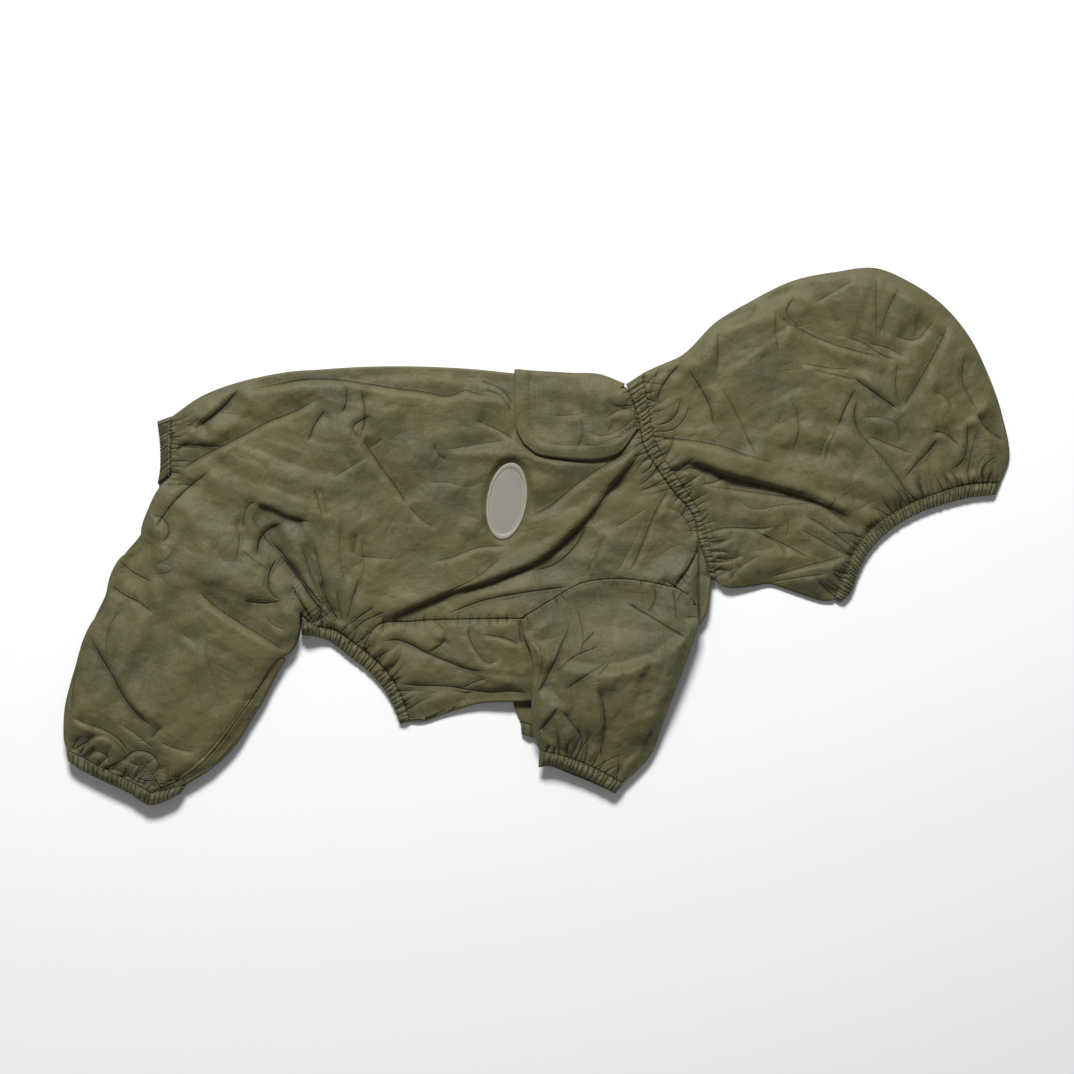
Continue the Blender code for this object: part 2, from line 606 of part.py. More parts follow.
def chest_panel():
    """Chest and belly, folded along the bottom edge."""
    top = chain(seam(CHEST_SEAM), seam(ARMHOLE_BELOW), seam(ARMHOLE_FRONT)[::-1],
                seam(THROAT_SEAM)[::-1])
    outline = seam(CHEST_FOLD)
    left, right = spread(seam(BELLY_FRONT), 6), spread(seam(NECK_FRONT), 6)
    axis = outline + square_to(outline, top) * (FOLD_RADIUS + WALL / 2)
    left[-1], right[-1] = axis[0], axis[-1]
    grid = patch(top, axis, left, spread(right[[0, -1]], 6), CHEST_FADE)
    grid[:, -1] = right
    grid = pull_back(grid, ("top", "left", "right"))
    fold = turn(outline, axis, upper_side, lower_side)
    rows = grid[-2::-1]
    return wall(np.concatenate([lift(rows, upper_side(rows))[::-1], fold,
                                lift(rows, lower_side(rows))]))


def inner_leg(main_side, flange_side):
    """Inner panel of a hind leg; it turns round the leg's front up to the outer seam."""
    rear, joint = leg_points(0, INNER_LEG)[:, None], leg_points(2, INNER_LEG)[:, None]
    shares = np.linspace(0.002, 1, 7)[None, :, None]
    main = rear + (joint - rear) * shares
    main[:len(CROTCH) + 1, -1] -= (joint - rear)[:len(CROTCH) + 1, 0] * 0.008
    main = lift(main, main_side(main))
    front, inside = leg_points(4), joint[-len(leg_points(4)):, 0]
    fold = turn(front, inside, flange_side, main_side)[::-1].transpose(1, 0, 2)
    across = (front - inside) / np.linalg.norm(front - inside, axis=1, keepdims=True)
    flange = np.stack([inside + (front - inside) * 0.25, inside + across * SEAM], axis=1)
    turned = np.concatenate([fold, lift(flange, flange_side(flange))], axis=1)
    blank = np.full((len(main) - len(turned), turned.shape[1], 3), np.nan)
    return wall(np.concatenate([main, np.concatenate([blank, turned])], axis=1))


def hood_plan():
    grid = patch(seam(CROWN), seam(CHIN), seam(HOOD_NECK), seam(FACE_SEAM))
    return pull_back(grid, ("left", "right"))


def hood_side(side, stride):
    """One side of the hood; the lower one needs fewer columns."""
    grid = hood_plan()[:, ::stride]
    return wall(lift(grid, side(grid)))


def sleeve(armhole, back, front, end, top, under):
    """A sleeve pressed flat: an outer and an under side joined along both edges."""
    upper = patch(armhole, spread(seam(end), len(armhole)), seam(back), seam(front))
    below = spread(seam(ARMHOLE_BELOW), len(armhole))
    lower = patch(below, upper[-1], seam(back), seam(front))
    upper = pull_back(upper, ("top", "bottom"))
    lower = pull_back(lower, ("top", "bottom"))
    left = turn(upper[:, 0], upper[:, 1], top, under).transpose(1, 0, 2)
    right = turn(upper[:, -1], upper[:, -2], top, under).transpose(1, 0, 2)
    outer, inner = lift(upper, top(upper)), lift(lower, under(lower))
    return wall(np.concatenate([outer[:, 1:-1], right, inner[:, -2:0:-1], left[:, ::-1]],
                               axis=1), closed=True)


def neck_run():
    """The body's and the chest's edges along the neck, as one line."""
    return chain(seam(NECK_SEAM), seam(NECK_FRONT))


# --------------------------------------------------------------------- elastic bands

def at(line, share):
    """The point at a share of a line's length, and the line's direction there."""
    s = share * length(line)
    before, here, after = along(line, np.array([s - 0.5, s, s + 0.5]))
    return here, (after - before) / np.linalg.norm(after - before)


def band(near_edge, far_edge, ribs, plain, top, under, corner=None):
    """A gathered elastic casing: a flattened ring from near_edge to far_edge.

    The ring runs along its upper half, round, and back along its lower half.  It has a
    station of its own at the share of its length where the near edge has a corner.
    """
    near_edge = near_edge + square_to(near_edge, spread(far_edge, len(near_edge))) * 2 * SEAM
    middle_edge = (spread(near_edge, 90) + spread(far_edge, 90)) / 2
    lines = [near_edge, middle_edge, far_edge]
    bend = FOLD_RADIUS + WALL / 2
    inset = bend / length(middle_edge)
    ahead = np.linspace(inset, 1 - inset, 2 * ribs + 1)
    back = np.linspace(1 - inset, inset, plain + 1)
    for shares in (ahead, back) if corner else ():
        shares[np.abs(shares - corner).argmin()] = corner
    stations = [(share, 1.0, 0.0, RIB * (k % 2)) for k, share in enumerate(ahead)]
    stations += [(1 - inset, sine, 1.0, 0.0) for sine in HALF_TURN[1:-1]]
    stations += [(share, -1.0, 0.0, 0.0) for share in back]
    stations += [(inset, sine, -1.0, 0.0) for sine in HALF_TURN[-2:0:-1]]
    sections = []
    for share, sine, end, rise in stations:
        out = math.sqrt(max(0.0, 1 - sine * sine)) * end
        ring, ways = (np.array(part) for part in zip(*[at(line, share) for line in lines]))
        high, low = top(ring), under(ring)
        spine = lift(ring + ways * FOLD_RADIUS * out, (high + low) / 2 + (high - low) / 2 * sine)
        normal = lift(ways * out, np.full(3, sine))
        puff = (np.array([0.0, DOME, 0.0]) + rise) * (sine == 1.0)
        outer = spine + normal * (WALL / 2 + puff[:, None])
        inner = (spine - normal * WALL / 2)[[2, 0]]
        sections.append(np.concatenate([outer, inner]))
    return ring_solid(np.array(sections))


def ring_solid(sections):
    """Close a ring of cross-sections; the faces point away from the cloth."""
    count, size = sections.shape[:2]
    faces = []
    for s in range(count):
        t = (s + 1) % count
        for k in range(size):
            m = (k + 1) % size
            faces.append((s * size + k, s * size + m, t * size + m, t * size + k))
    points = sections.reshape(-1, 3)
    volume = sum(np.dot(points[f[0]], np.cross(points[f[1]], points[f[2]]))
                 + np.dot(points[f[0]], np.cross(points[f[2]], points[f[3]])) for f in faces)
    if volume < 0:
        faces = [face[::-1] for face in faces]
    return points, faces


def tail_band():
    return band(spread(np.array(TAIL_END), 20), edge(TAIL_EDGE), TAIL_RIBS, TAIL_PLAIN,
                upper_side, lower_side)


def belly_band():
    run = chain(seam(BELLY_SEAM), seam(BELLY_FRONT))
    start = np.array([(-131.3, -44.6)])
    run = np.concatenate([start, run[1:]])
    return band(run, edge(BELLY_EDGE), BELLY_RIBS, BELLY_PLAIN, upper_side, lower_side)


def neck_band():
    run = np.concatenate([[NECK_TOP], neck_run()[1:]])
    return band(run, edge(NECK_EDGE), NECK_RIBS, NECK_PLAIN, upper_side, lower_side)


def face_band():
    return band(seam(FACE_SEAM), edge(FACE_EDGE), FACE_RIBS, FACE_PLAIN,
                upper_side, lower_side)


def leg_cuff(top, under, ribs, plain):
    rear, joint, front = leg_points(0)[-1], leg_points(2)[-1], leg_points(4)[-1]
    run = np.concatenate([spread(np.array([rear, joint]), 12),
                          spread(np.array([joint, front]), 6)[1:]])
    corner = math.dist(rear, joint) / (math.dist(rear, joint) + math.dist(joint, front))
    return band(run, edge(LEG_HEM), ribs, plain, top, under, corner)


# ------------------------------------------------------------------- flap and patch

def flap_top(points):
    return upper_side(points) + PITCH


def flap():
    """The flap over the leash hole, folded over the back, with a doubled hem."""
    left = seam(FLAP_REAR)
    plan = patch(seam(FLAP_FOLD), seam(FLAP_HEM), left, seam(FLAP_NECK))
    radius = (flap_top(plan[:1]) - table_side(plan[:1])).max() / 2
    fold = turn(plan[0], plan[1], flap_top, table_side, radius + WALL / 2)
    rows = plan[1:]
    under = rows[::2]
    sheet = np.concatenate([lift(rows, flap_top(rows))[::-1], fold,
                            lift(under, table_side(under))])
    free_edge = chain(seam(FLAP_REAR), seam(FLAP_HEM)[:-1])
    gap = distance(sheet[..., :2], free_edge)[0]
    upper = sheet[..., 2] > table_side(plan[:1]).max() + PITCH
    relief = np.where((gap < HEM) & upper, HEM_RISE, 0.0)
    return wall(sheet, relief=relief)


def badge():
    """A plain oval patch with a raised rim, lying on the shoulder."""
    plans = [oval(share) for share, rim in BADGE_RINGS]
    rings = [lift(plan, upper_side(plan) + WALL / 2 + SEAM) for plan in plans]
    heights = [BADGE_WALL + BADGE_RIM * rim for share, rim in BADGE_RINGS]
    middle = np.array([[BADGE_X, BADGE_Y]])
    centre = lift(middle, upper_side(middle) + WALL / 2 + SEAM)
    points = [centre, centre + [0, 0, heights[0]]]
    points += [ring for ring in rings]
    points += [ring + [0, 0, height] for ring, height in zip(rings, heights)]
    count, levels = BADGE_SIDES, len(rings)
    faces = []
    for k in range(count):
        m = (k + 1) % count
        faces.append((0, 2 + m, 2 + k))
        faces.append((1, 2 + levels * count + k, 2 + levels * count + m))
        for level in range(levels - 1):
            a = 2 + level * count
            b = a + levels * count
            faces.append((a + k, a + m, a + count + m, a + count + k))
            faces.append((b + m, b + k, b + count + k, b + count + m))
        low = 2 + (levels - 1) * count
        high = low + levels * count
        faces.append((low + k, low + m, high + m, high + k))
    return np.concatenate(points), faces


# ------------------------------------------------------------------------- assembly

def right_armhole():
    return chain(seam(ARMHOLE), seam(ARMHOLE_FRONT))


def clear_scene():
    for item in list(bpy.data.objects):
        bpy.data.objects.remove(item, do_unlink=True)


def main():
    clear_scene()
    add("back_panel", back_panel())
    add("chest_panel", chest_panel())
    add("hind_leg_inner_right", inner_leg(right_leg_side, upper_side))
    add("hind_leg_inner_left", inner_leg(left_leg_side, table_side))
    add("sleeve_right", sleeve(right_armhole(), SLEEVE_BACK, SLEEVE_FRONT, SLEEVE_END,
                               sleeve_top, sleeve_under))
    add("sleeve_left", sleeve(spread(right_armhole(), 9), LEFT_SLEEVE_BACK,
                              LEFT_SLEEVE_FRONT, LEFT_SLEEVE_END, table_side, left_leg_side))
    add("hood_right", hood_side(upper_side, 1))
    add("hood_left", hood_side(lower_side, 2))
    add("neck_band", neck_band(), OLIVE_DARK)
    add("face_band", face_band(), OLIVE_DARK)
    add("tail_band", tail_band(), OLIVE_DARK)
    add("belly_band", belly_band(), OLIVE_DARK)
    add("sleeve_cuff_right",
        band(seam(SLEEVE_END), edge(SLEEVE_HEM), SLEEVE_RIBS, SLEEVE_PLAIN,
             sleeve_top, sleeve_under), OLIVE_DARK)
    add("sleeve_cuff_left",
        band(seam(LEFT_SLEEVE_END), edge(LEFT_SLEEVE_HEM), LEFT_SLEEVE_RIBS,
             LEFT_SLEEVE_PLAIN, left_leg_side, table_side), OLIVE_DARK)
    add("leg_cuff_right", leg_cuff(upper_side, right_leg_side, LEG_RIBS, LEG_PLAIN), OLIVE_DARK)
    add("leg_cuff_left", leg_cuff(left_leg_side, table_side, LEFT_LEG_RIBS, LEFT_LEG_PLAIN),
        OLIVE_DARK)
    add("leash_flap", flap())
    add("badge", badge(), GREY)


main()
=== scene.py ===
# %% [markdown]
# # A small dog's raincoat, laid flat
# The coat is thin olive taffeta: a hood, two sleeves, two trouser legs and a flap over the
# leash hole.  It lies on its left side with the hood to the right, as a shop lays it out.
# The solids of its pieces are there already, and this script dresses them: every piece of
# cloth is made again as a thin shell on its solid's form, with the creases of the real coat.

# %% Start
import json
import math

import bpy
import numpy as np
from numpy.linalg import norm
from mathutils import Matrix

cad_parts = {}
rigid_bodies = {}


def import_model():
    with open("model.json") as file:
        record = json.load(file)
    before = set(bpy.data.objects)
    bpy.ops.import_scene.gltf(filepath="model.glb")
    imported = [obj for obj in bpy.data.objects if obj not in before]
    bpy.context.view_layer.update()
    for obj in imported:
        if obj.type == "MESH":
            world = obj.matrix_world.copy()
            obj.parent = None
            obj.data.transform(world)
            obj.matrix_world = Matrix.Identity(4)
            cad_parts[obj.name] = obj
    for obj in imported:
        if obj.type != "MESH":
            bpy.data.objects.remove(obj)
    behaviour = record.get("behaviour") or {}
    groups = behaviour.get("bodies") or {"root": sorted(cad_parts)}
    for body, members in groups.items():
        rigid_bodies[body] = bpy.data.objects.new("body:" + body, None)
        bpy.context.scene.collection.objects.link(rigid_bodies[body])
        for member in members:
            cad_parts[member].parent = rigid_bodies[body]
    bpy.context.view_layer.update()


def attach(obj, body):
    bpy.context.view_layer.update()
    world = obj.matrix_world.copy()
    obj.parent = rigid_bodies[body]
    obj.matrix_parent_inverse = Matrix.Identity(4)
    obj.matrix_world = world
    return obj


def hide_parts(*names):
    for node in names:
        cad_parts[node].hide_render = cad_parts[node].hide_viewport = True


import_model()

# %% [markdown]
# ## Working sizes
# The work is in millimetres and becomes metres when a mesh is made.  The origin is under
# the middle of the whole coat, as it is for the solids.  The cloth itself is 0.6 mm thick,
# and the layers lie as far apart as the solids.

# %% Sizes
MM = 0.001
TINY = 1e-9           # keeps a division by nothing from failing
CLOTH = 0.6           # thickness of one layer
CASING = 1.1          # thickness of a doubled layer with its elastic
PITCH = 1.8           # between the middles of two layers that lie on each other
FLOOR = CLOTH / 2     # height of the middle of the layer on the table
SEAM = 0.3            # gap between two pieces at a seam
FOLD = 1.5            # from a folded edge in to the axis of its fold
ROOM = 1.4            # slack between the coat's two sides
PUFF = 2.4            # more slack, which the creases need
EDGE = 11.0           # how far in from the outline the slack has opened
TUBE = 4.6            # rise of what lies on a flattened sleeve or leg
MARGIN = 3.0          # how far out the cloth over a hidden layer stays level
SKIRT = 20.0          # how far out it has come down
SLEEVE_SKIRT = 46.0   # the same over a sleeve, where the cloth comes down gently
SLEEVE_PUFF = 2.6     # slack of the right sleeve
HEM = 10.0            # width of the flap's doubled hem
HEM_RISE = 0.45       # how far it stands above the flap
print("cloth", CLOTH, "mm thick, layers", PITCH, "mm apart")

# %% [markdown]
# ## Seams and folds
# A garment is known by its seams.  Each row of a table is a point of one seam or folded
# edge seen from above, with the number of coarse mesh cells to the next one.  A smooth
# curve goes through the points, so that two pieces that share a seam share its points.

# %% Seam tables
# Seams and folds seen from above.  Columns: x, y, mesh cells to the next row.
BACK_FOLD = (
    (-205, 67, 3), (-188, 78.6, 2), (-172, 85, 2), (-158, 88.8, 2), (-145, 91.4, 1),
    (-137, 92.6, 2), (-125, 93.4, 2), (-112, 94.3, 1), (-104, 94.8, 2), (-85, 95.4, 3),
    (-57, 95, 4), (-30, 93.3, 2), (-14, 91.5, 1), (-3, 90.7, 2), (14, 90.1, 3),
    (34, 89.1, 2), (50, 83.6, 0))
TAIL_SEAM = ((-205, 67, 2), (-204.8, 50, 2), (-205, 34, 0))
REAR = ((-205, 34, 2), (-212, 26, 2), (-217.5, 15, 2), (-221, 5, 2), (-222, -3.5, 2),
        (-233.5, -12.5, 1), (-238, -20.5, 1), (-241, -33, 0))
LEG_LINE = ((-241, -33, 3), (-213, -35.4, 2), (-187, -37.6, 2), (-160, -39.7, 2),
            (-132, -42, 0))
BELLY_SEAM = ((-132, -42, 1), (-125.5, -49.3, 2), (-113, -53, 2), (-97.5, -63.5, 0))
CHEST_SEAM = ((-97.5, -63.5, 1), (-90, -50.5, 2), (-70, -47.8, 3), (-40, -46.4, 4),
              (-9, -46, 0))
ARMHOLE = ((-9, -46, 2), (8, -35.6, 2), (24, -26.6, 2), (41, -23.8, 2), (59, -24.9, 2),
           (77, -28.5, 0))
NECK_SEAM = ((50, 83.6, 2), (56.2, 69, 3), (60.3, 50, 2), (67, 39, 2), (78, 24, 1),
             (85, 16.5, 1), (89.3, 8, 1), (90.3, 0, 0))
THROAT_SEAM = ((90.3, 0, 1), (90, -7, 1), (84.5, -18.5, 2), (77, -28.5, 0))
ARMHOLE_FRONT = ((77, -28.5, 2), (84, -32.5, 1), (89.3, -38.3, 0))
ARMHOLE_BELOW = ((-9, -46, 2), (2, -59, 2), (20, -69, 2), (42, -71, 2), (62, -65, 2),
                 (76, -55.5, 2), (85, -45.5, 1), (89.3, -38.3, 0))
BELLY_FRONT = ((-97.5, -63.5, 2), (-84, -76, 2), (-74.5, -93, 1), (-71, -104, 0))
NECK_FRONT = ((90.3, 0, 1), (92.5, -7, 2), (96, -16.5, 2), (97.7, -24.3, 0))
CHEST_FOLD = (
    (-71, -104, 1), (-64, -103.8, 2), (-50, -99, 3), (-30, -93.3, 4), (-13, -92.6, 2),
    (5, -91.5, 2), (25, -89, 2), (46, -84.5, 2), (65, -76.5, 2), (79, -66, 2),
    (89.5, -51.5, 1), (95, -43.5, 1), (96.4, -37, 2), (97, -31.5, 2), (97.4, -28, 1),
    (97.6, -26.1, 1), (97.7, -24.3, 0))
HOOD_NECK = ((58.5, 91, 2), (61.6, 76, 2), (64.1, 61.5, 2), (69.1, 47, 2), (79.6, 31.5, 2),
             (91.1, 13.5, 2), (96.6, -5, 2), (99.2, -15.6, 1), (100.6, -24, 0))
CROWN = (
    (58.5, 91, 1), (70, 96.2, 1), (80, 100.6, 2), (101, 120.5, 2), (120, 131.7, 2),
    (143, 143, 2), (168, 148.2, 2), (190, 150.3, 2), (208, 143, 2), (227, 130.2, 2),
    (242, 112.5, 2), (253, 90.5, 2), (261, 67, 1), (264.4, 43, 1), (259.4, 29.8, 0))
CHIN = (
    (100.6, -24, 1), (103.5, -27.3, 1), (107, -28.6, 2), (113, -28.7, 2),
    (120, -28, 2), (131, -26.7, 2), (138, -28.8, 2), (144, -31, 2), (149, -32.7, 2),
    (153, -34.1, 2), (156.5, -35.2, 2), (160, -36, 2), (163, -36.2, 1), (165, -36, 1),
    (166.3, -35.4, 0))
FACE_SEAM = ((259.4, 29.8, 2), (243, 29, 2), (225, 24.3, 2), (205, 16, 2),
             (190, 6, 2), (179, -7, 2), (173.3, -19, 1), (169.5, -28.5, 2),
             (166.3, -35.4, 0))
SLEEVE_BACK = ((-9, -46, 1), (-7.3, -55, 1), (-3.4, -65, 2), (-2.3, -80, 2), (-3, -94, 2),
               (-2.3, -108, 2), (1.5, -119.5, 0))
SLEEVE_FRONT = ((89.3, -38.3, 1), (90.3, -49, 1), (87, -59.5, 2), (79, -81.5, 2),
                (71.5, -101.5, 2), (63.5, -122.5, 2), (48.5, -138.3, 0))
SLEEVE_END = ((1.5, -119.5, 3), (15, -122.7, 3), (30, -128.5, 3), (48.5, -138.3, 0))
LEFT_SLEEVE_BACK = ((-9, -46, 1), (-14, -58, 1), (-15.3, -75, 2), (-13.5, -93, 1),
                    (-9, -104.5, 0))
LEFT_SLEEVE_FRONT = ((89.3, -38.3, 1), (84, -52, 1), (73, -74, 2), (58, -101, 1),
                     (41, -120.5, 0))
LEFT_SLEEVE_END = ((-9, -104.5, 3), (20, -110.5, 3), (41, -120.5, 0))

# Sections down a hind leg.  Columns: x, y of the rear edge, of the front seam of the
# outer panel, and of the front fold; the fold is None where the seam is at the edge.
LEG = (
    (-241, -33, -132, -42, None, None),
    (-242.5, -40.5, -132.7, -55, None, None),
    (-248.5, -47.5, -137.5, -65, None, None),
    (-253.7, -58, -143.5, -68.5, -140.9, -69.3),
    (-257.5, -71, -152, -80, -147, -80),
    (-261, -83, -160, -92, -153, -92),
    (-263.8, -95, -168, -103, -160, -103),
    (-264.6, -106, -176, -114.5, -166.7, -114.5),
    (-264.3, -114, -191, -130.5, -181, -129.3),
    (-263, -119, -215, -143.5, -197, -139.5))
# Sections of the leg's inner panel above those, up to the seam between the two legs.
CROTCH = (
    (-213.5, 22, -134, -44.5, None, None),
    (-221.8, 1, -133.5, -48, None, None),
    (-231.5, -11, -133.2, -52.5, None, None),
    (-240.5, -31, -134, -58.5, None, None))

# Outer edges of the elastic bands, and where the tail and neck bands start so that no
# gap shows beside them.  Columns: x, y.
TAIL_EDGE = ((-212.5, 64.6), (-211.3, 57), (-210.6, 45), (-210.8, 37), (-211.8, 28.5))
TAIL_START = ((-204.6, 67.3), (-205, 34.6))
BELLY_EDGE = ((-131.6, -54.8), (-123, -56), (-117.5, -57.8), (-105, -67), (-95, -74.7),
              (-86, -84.5), (-80, -95), (-76.3, -105))
BELLY_START = (-131.3, -44.6)
NECK_START = (50.1, 85.3)
NECK_EDGE = ((58.5, 90.7), (60.4, 83), (61.5, 76), (62.6, 69), (64, 61.5), (66, 54),
             (69, 47), (73.5, 40), (79.5, 31.5), (86, 21.8), (91, 13.5), (94.7, 2.5),
             (96.5, -5), (98.4, -12.5), (99.9, -20), (100.2, -24.6))
FACE_EDGE = ((257, 23.4), (243, 22), (228, 18.2), (210, 11.3), (195, 1.3), (185, -10),
             (179.3, -21.7), (174.3, -33.3), (170, -36.8))
SLEEVE_HEM = ((1, -129), (5, -128.4), (20, -133.4), (30, -137.4), (44, -143.8))
LEFT_SLEEVE_HEM = ((-8.5, -110.6), (-3, -112.2), (12, -114.5), (25, -119.5),
                   (37.5, -126.5))
LEG_HEM = ((-262, -124.8), (-257.5, -128.3), (-245, -135), (-228, -143), (-215.5, -150),
           (-209, -148.3), (-199.7, -143.6))

# The edge of the coat over the neck band, from the back to the hood.  Columns: x, y.
NAPE = ((50, 85.4), (60, 92.5), (79, 100))

# The leash-hole flap.  Its fold lies over the coat's back, its hem on the side.
FLAP_FOLD = ((-12.5, 93.3, 2), (0, 92.8, 3), (20, 91.7, 2), (35, 91, 2), (49.4, 85.6, 0))
FLAP_REAR = ((-12.5, 93.3, 2), (-12.4, 75, 2), (-11.4, 60, 1), (-7.5, 52.2, 0))
FLAP_HEM = ((-7.5, 52.2, 1), (0, 46.2, 2), (12, 43.8, 3), (33, 43, 2), (44, 45.4, 1),
            (56.6, 60.5, 0))
FLAP_NECK = ((49.4, 85.6, 3), (54.6, 71.5, 2), (56.6, 60.5, 0))

# The oval patch on the shoulder: middle, half sizes and lean.
BADGE_X, BADGE_Y = -16.8, 19.7
BADGE_HALF_WIDTH = 11.2
BADGE_HALF_HEIGHT = 21.8
BADGE_LEAN = math.radians(8.7)
print("back fold of", len(BACK_FOLD), "points, crown of", len(CROWN))

# %% [markdown]
# A curve through given points can be a spline object, but a few lines of arithmetic give
# the same and also say where each mesh column starts.  `patch` fills the space between
# four seams with a grid, which is how a flat piece of cloth follows its own edges.

# %% Curves in the plan
def through(rows, places):
    """Points on a smooth curve through rows; place 2.5 is half way from row 2 to row 3."""
    points = np.array([row[:2] for row in rows], float)
    steps = norm(np.diff(points, axis=0), axis=1)
    slopes = np.diff(points, axis=0) / steps[:, None]
    tangents = np.empty_like(points)
    tangents[0], tangents[-1] = slopes[0], slopes[-1]
    share = (steps[:-1] / (steps[:-1] + steps[1:]))[:, None]
    tangents[1:-1] = slopes[:-1] * (1 - share) + slopes[1:] * share
    places = np.asarray(places, float)
    row = np.clip(places.astype(int), 0, len(points) - 2)
    t = (places - row)[:, None]
    reach = steps[row][:, None]
    return ((2 * t**3 - 3 * t**2 + 1) * points[row] + (t**3 - 2 * t**2 + t) * reach * tangents[row]
            + (3 * t**2 - 2 * t**3) * points[row + 1] + (t**3 - t**2) * reach * tangents[row + 1])


def seam(rows, fine=1):
    """The mesh points along one seam; fine splits each coarse cell."""
    places = [i + k / (row[2] * fine) for i, row in enumerate(rows[:-1])
              for k in range(row[2] * fine)]
    return through(rows, places + [len(rows) - 1])


def edge(rows, count=60):
    """Points along a smooth curve through rows, in equal steps from row to row."""
    return through(rows, np.linspace(0, len(rows) - 1, count))


def chain(*parts):
    """Several runs of points as one, each starting where the last one ends."""
    return np.concatenate([parts[0]] + [part[1:] for part in parts[1:]])


def reach_along(line):
    """Distance of each point of a line from its start."""
    return np.concatenate([[0], np.cumsum(norm(np.diff(line, axis=0), axis=1))])


def length(line):
    """How long a line of points is."""
    return reach_along(line)[-1]


def read(line, reach, places):
    """The line's values at some distances from its start."""
    return np.stack([np.interp(places, reach, column) for column in line.T], axis=-1)


def spread(line, count):
    """The line again as count evenly placed points."""
    reach = reach_along(line)
    return read(line, reach, np.linspace(0, reach[-1], count))


def unit(steps):
    """Every step divided by its length."""
    return steps / norm(steps, axis=1, keepdims=True)


def patch(top, bottom, left, right, fade=1.0):
    """A grid of plan points between four sides; rows run from top to bottom."""
    v, u = np.meshgrid(np.linspace(0, 1, len(left)), np.linspace(0, 1, len(top)), indexing="ij")
    u, v = u[..., None], v[..., None]
    straight = (1 - v) * top[None] + v * bottom[None]
    left_bend = left[:, None] - straight[:, :1]
    right_bend = right[:, None] - straight[:, -1:]
    return straight + left_bend * (1 - u)**fade + right_bend * u**fade


def smooth(t):
    """0 up to 0, 1 from 1 on, and a soft rise between them."""
    t = np.clip(t, 0, 1)
    return t * t * (3 - 2 * t)


def rim_of(grid):
    """The four sides of a grid as one outline."""
    return np.concatenate([grid[0], grid[:, -1], grid[-1, ::-1], grid[::-1, 0]])


def square_to(line, side):
    """Unit steps square to a line of plan points, towards the points of side."""
    run = np.gradient(line, axis=0)
    normal = unit(np.stack([-run[:, 1], run[:, 0]], axis=1))
    towards = ((side - line) * normal).sum(1)
    return normal * np.where(towards < 0, -1.0, 1.0)[:, None]


def leg_points(columns, rows=LEG):
    """One edge of the leg: x and y from two columns of its sections."""
    return np.array([[row[columns], row[columns + 1]] for row in rows
                     if row[columns] is not None], float)


print("neck seam", round(length(seam(NECK_SEAM))), "mm, crown", round(length(seam(CROWN))), "mm")

# %% [markdown]
# ## How high the cloth lies
# Nothing here floats.  The lower side of the coat lies on the table, and over the parts
# that are folded under it.  The upper side lies on that, a little higher where the legs
# are between them, and both sides meet at the outline.  Heights are therefore functions
# of the place in the plan, made from the distance to a few outlines.

# %% Outlines
def coat_outline():
    """The edge of the whole coat and hood, without the sleeves."""
    top = chain(seam(BACK_FOLD)[:-3], edge(NAPE, 8))
    hood = chain(seam(CROWN)[3:], edge(FACE_EDGE, 24), seam(CHIN)[::-1], seam(CHEST_FOLD)[::-1])
    belly = chain(edge(BELLY_EDGE, 16)[::-1], leg_points(2)[1:3], leg_points(4))
    rear = chain(edge(LEG_HEM, 16)[::-1], leg_points(0)[::-1], seam(REAR)[::-1])
    return np.concatenate([top, hood, belly, rear, edge(TAIL_EDGE, 8)[::-1]])


INNER_LEG = CROTCH + LEG[2:]


def leg_outline():
    """The part of the coat between whose sides the two inner leg panels lie."""
    return np.concatenate([leg_points(0, INNER_LEG), edge(LEG_HEM, 16), leg_points(4)[::-1],
                           leg_points(2)[2:3], leg_points(2, CROTCH)[::-1]])


def oval(share, sides=24):
    """The oval patch's outline at a share of its size."""
    angles = np.arange(sides) * math.tau / sides
    x = np.cos(angles) * BADGE_HALF_WIDTH * share
    y = np.sin(angles) * BADGE_HALF_HEIGHT * share
    c, s = math.cos(BADGE_LEAN), math.sin(BADGE_LEAN)
    return np.stack([BADGE_X + x * c + y * s, BADGE_Y - x * s + y * c], axis=1)


def under_sleeve_outline(back, hem, front):
    """The part of the plan that a sleeve covers, up to the seam under the arm."""
    return np.concatenate([seam(ARMHOLE_BELOW), seam(front)[1:], edge(hem, 12)[::-1],
                           seam(back)[::-1]])


COAT = coat_outline()
LEGS = leg_outline()
FLAP = np.concatenate([seam(FLAP_REAR), seam(FLAP_HEM)[1:], seam(FLAP_NECK)[::-1],
                       seam(FLAP_FOLD)[::-1]])
CHEST = np.concatenate([seam(CHEST_SEAM), seam(ARMHOLE_BELOW)[1:], seam(CHEST_FOLD)[::-1]])
LEFT_SLEEVE = under_sleeve_outline(LEFT_SLEEVE_BACK, LEFT_SLEEVE_HEM, LEFT_SLEEVE_FRONT)
RIGHT_SLEEVE = under_sleeve_outline(SLEEVE_BACK, SLEEVE_HEM, SLEEVE_FRONT)
BADGE = oval(1.0)
print("outline of the coat:", len(COAT), "points")

# %% [markdown]
# Every height below depends on how far a place is from such an outline.  numpy measures
# all places against all sides of the outline at once, a chunk at a time to save memory.

# %% Distances to an outline
CHUNK = 20000


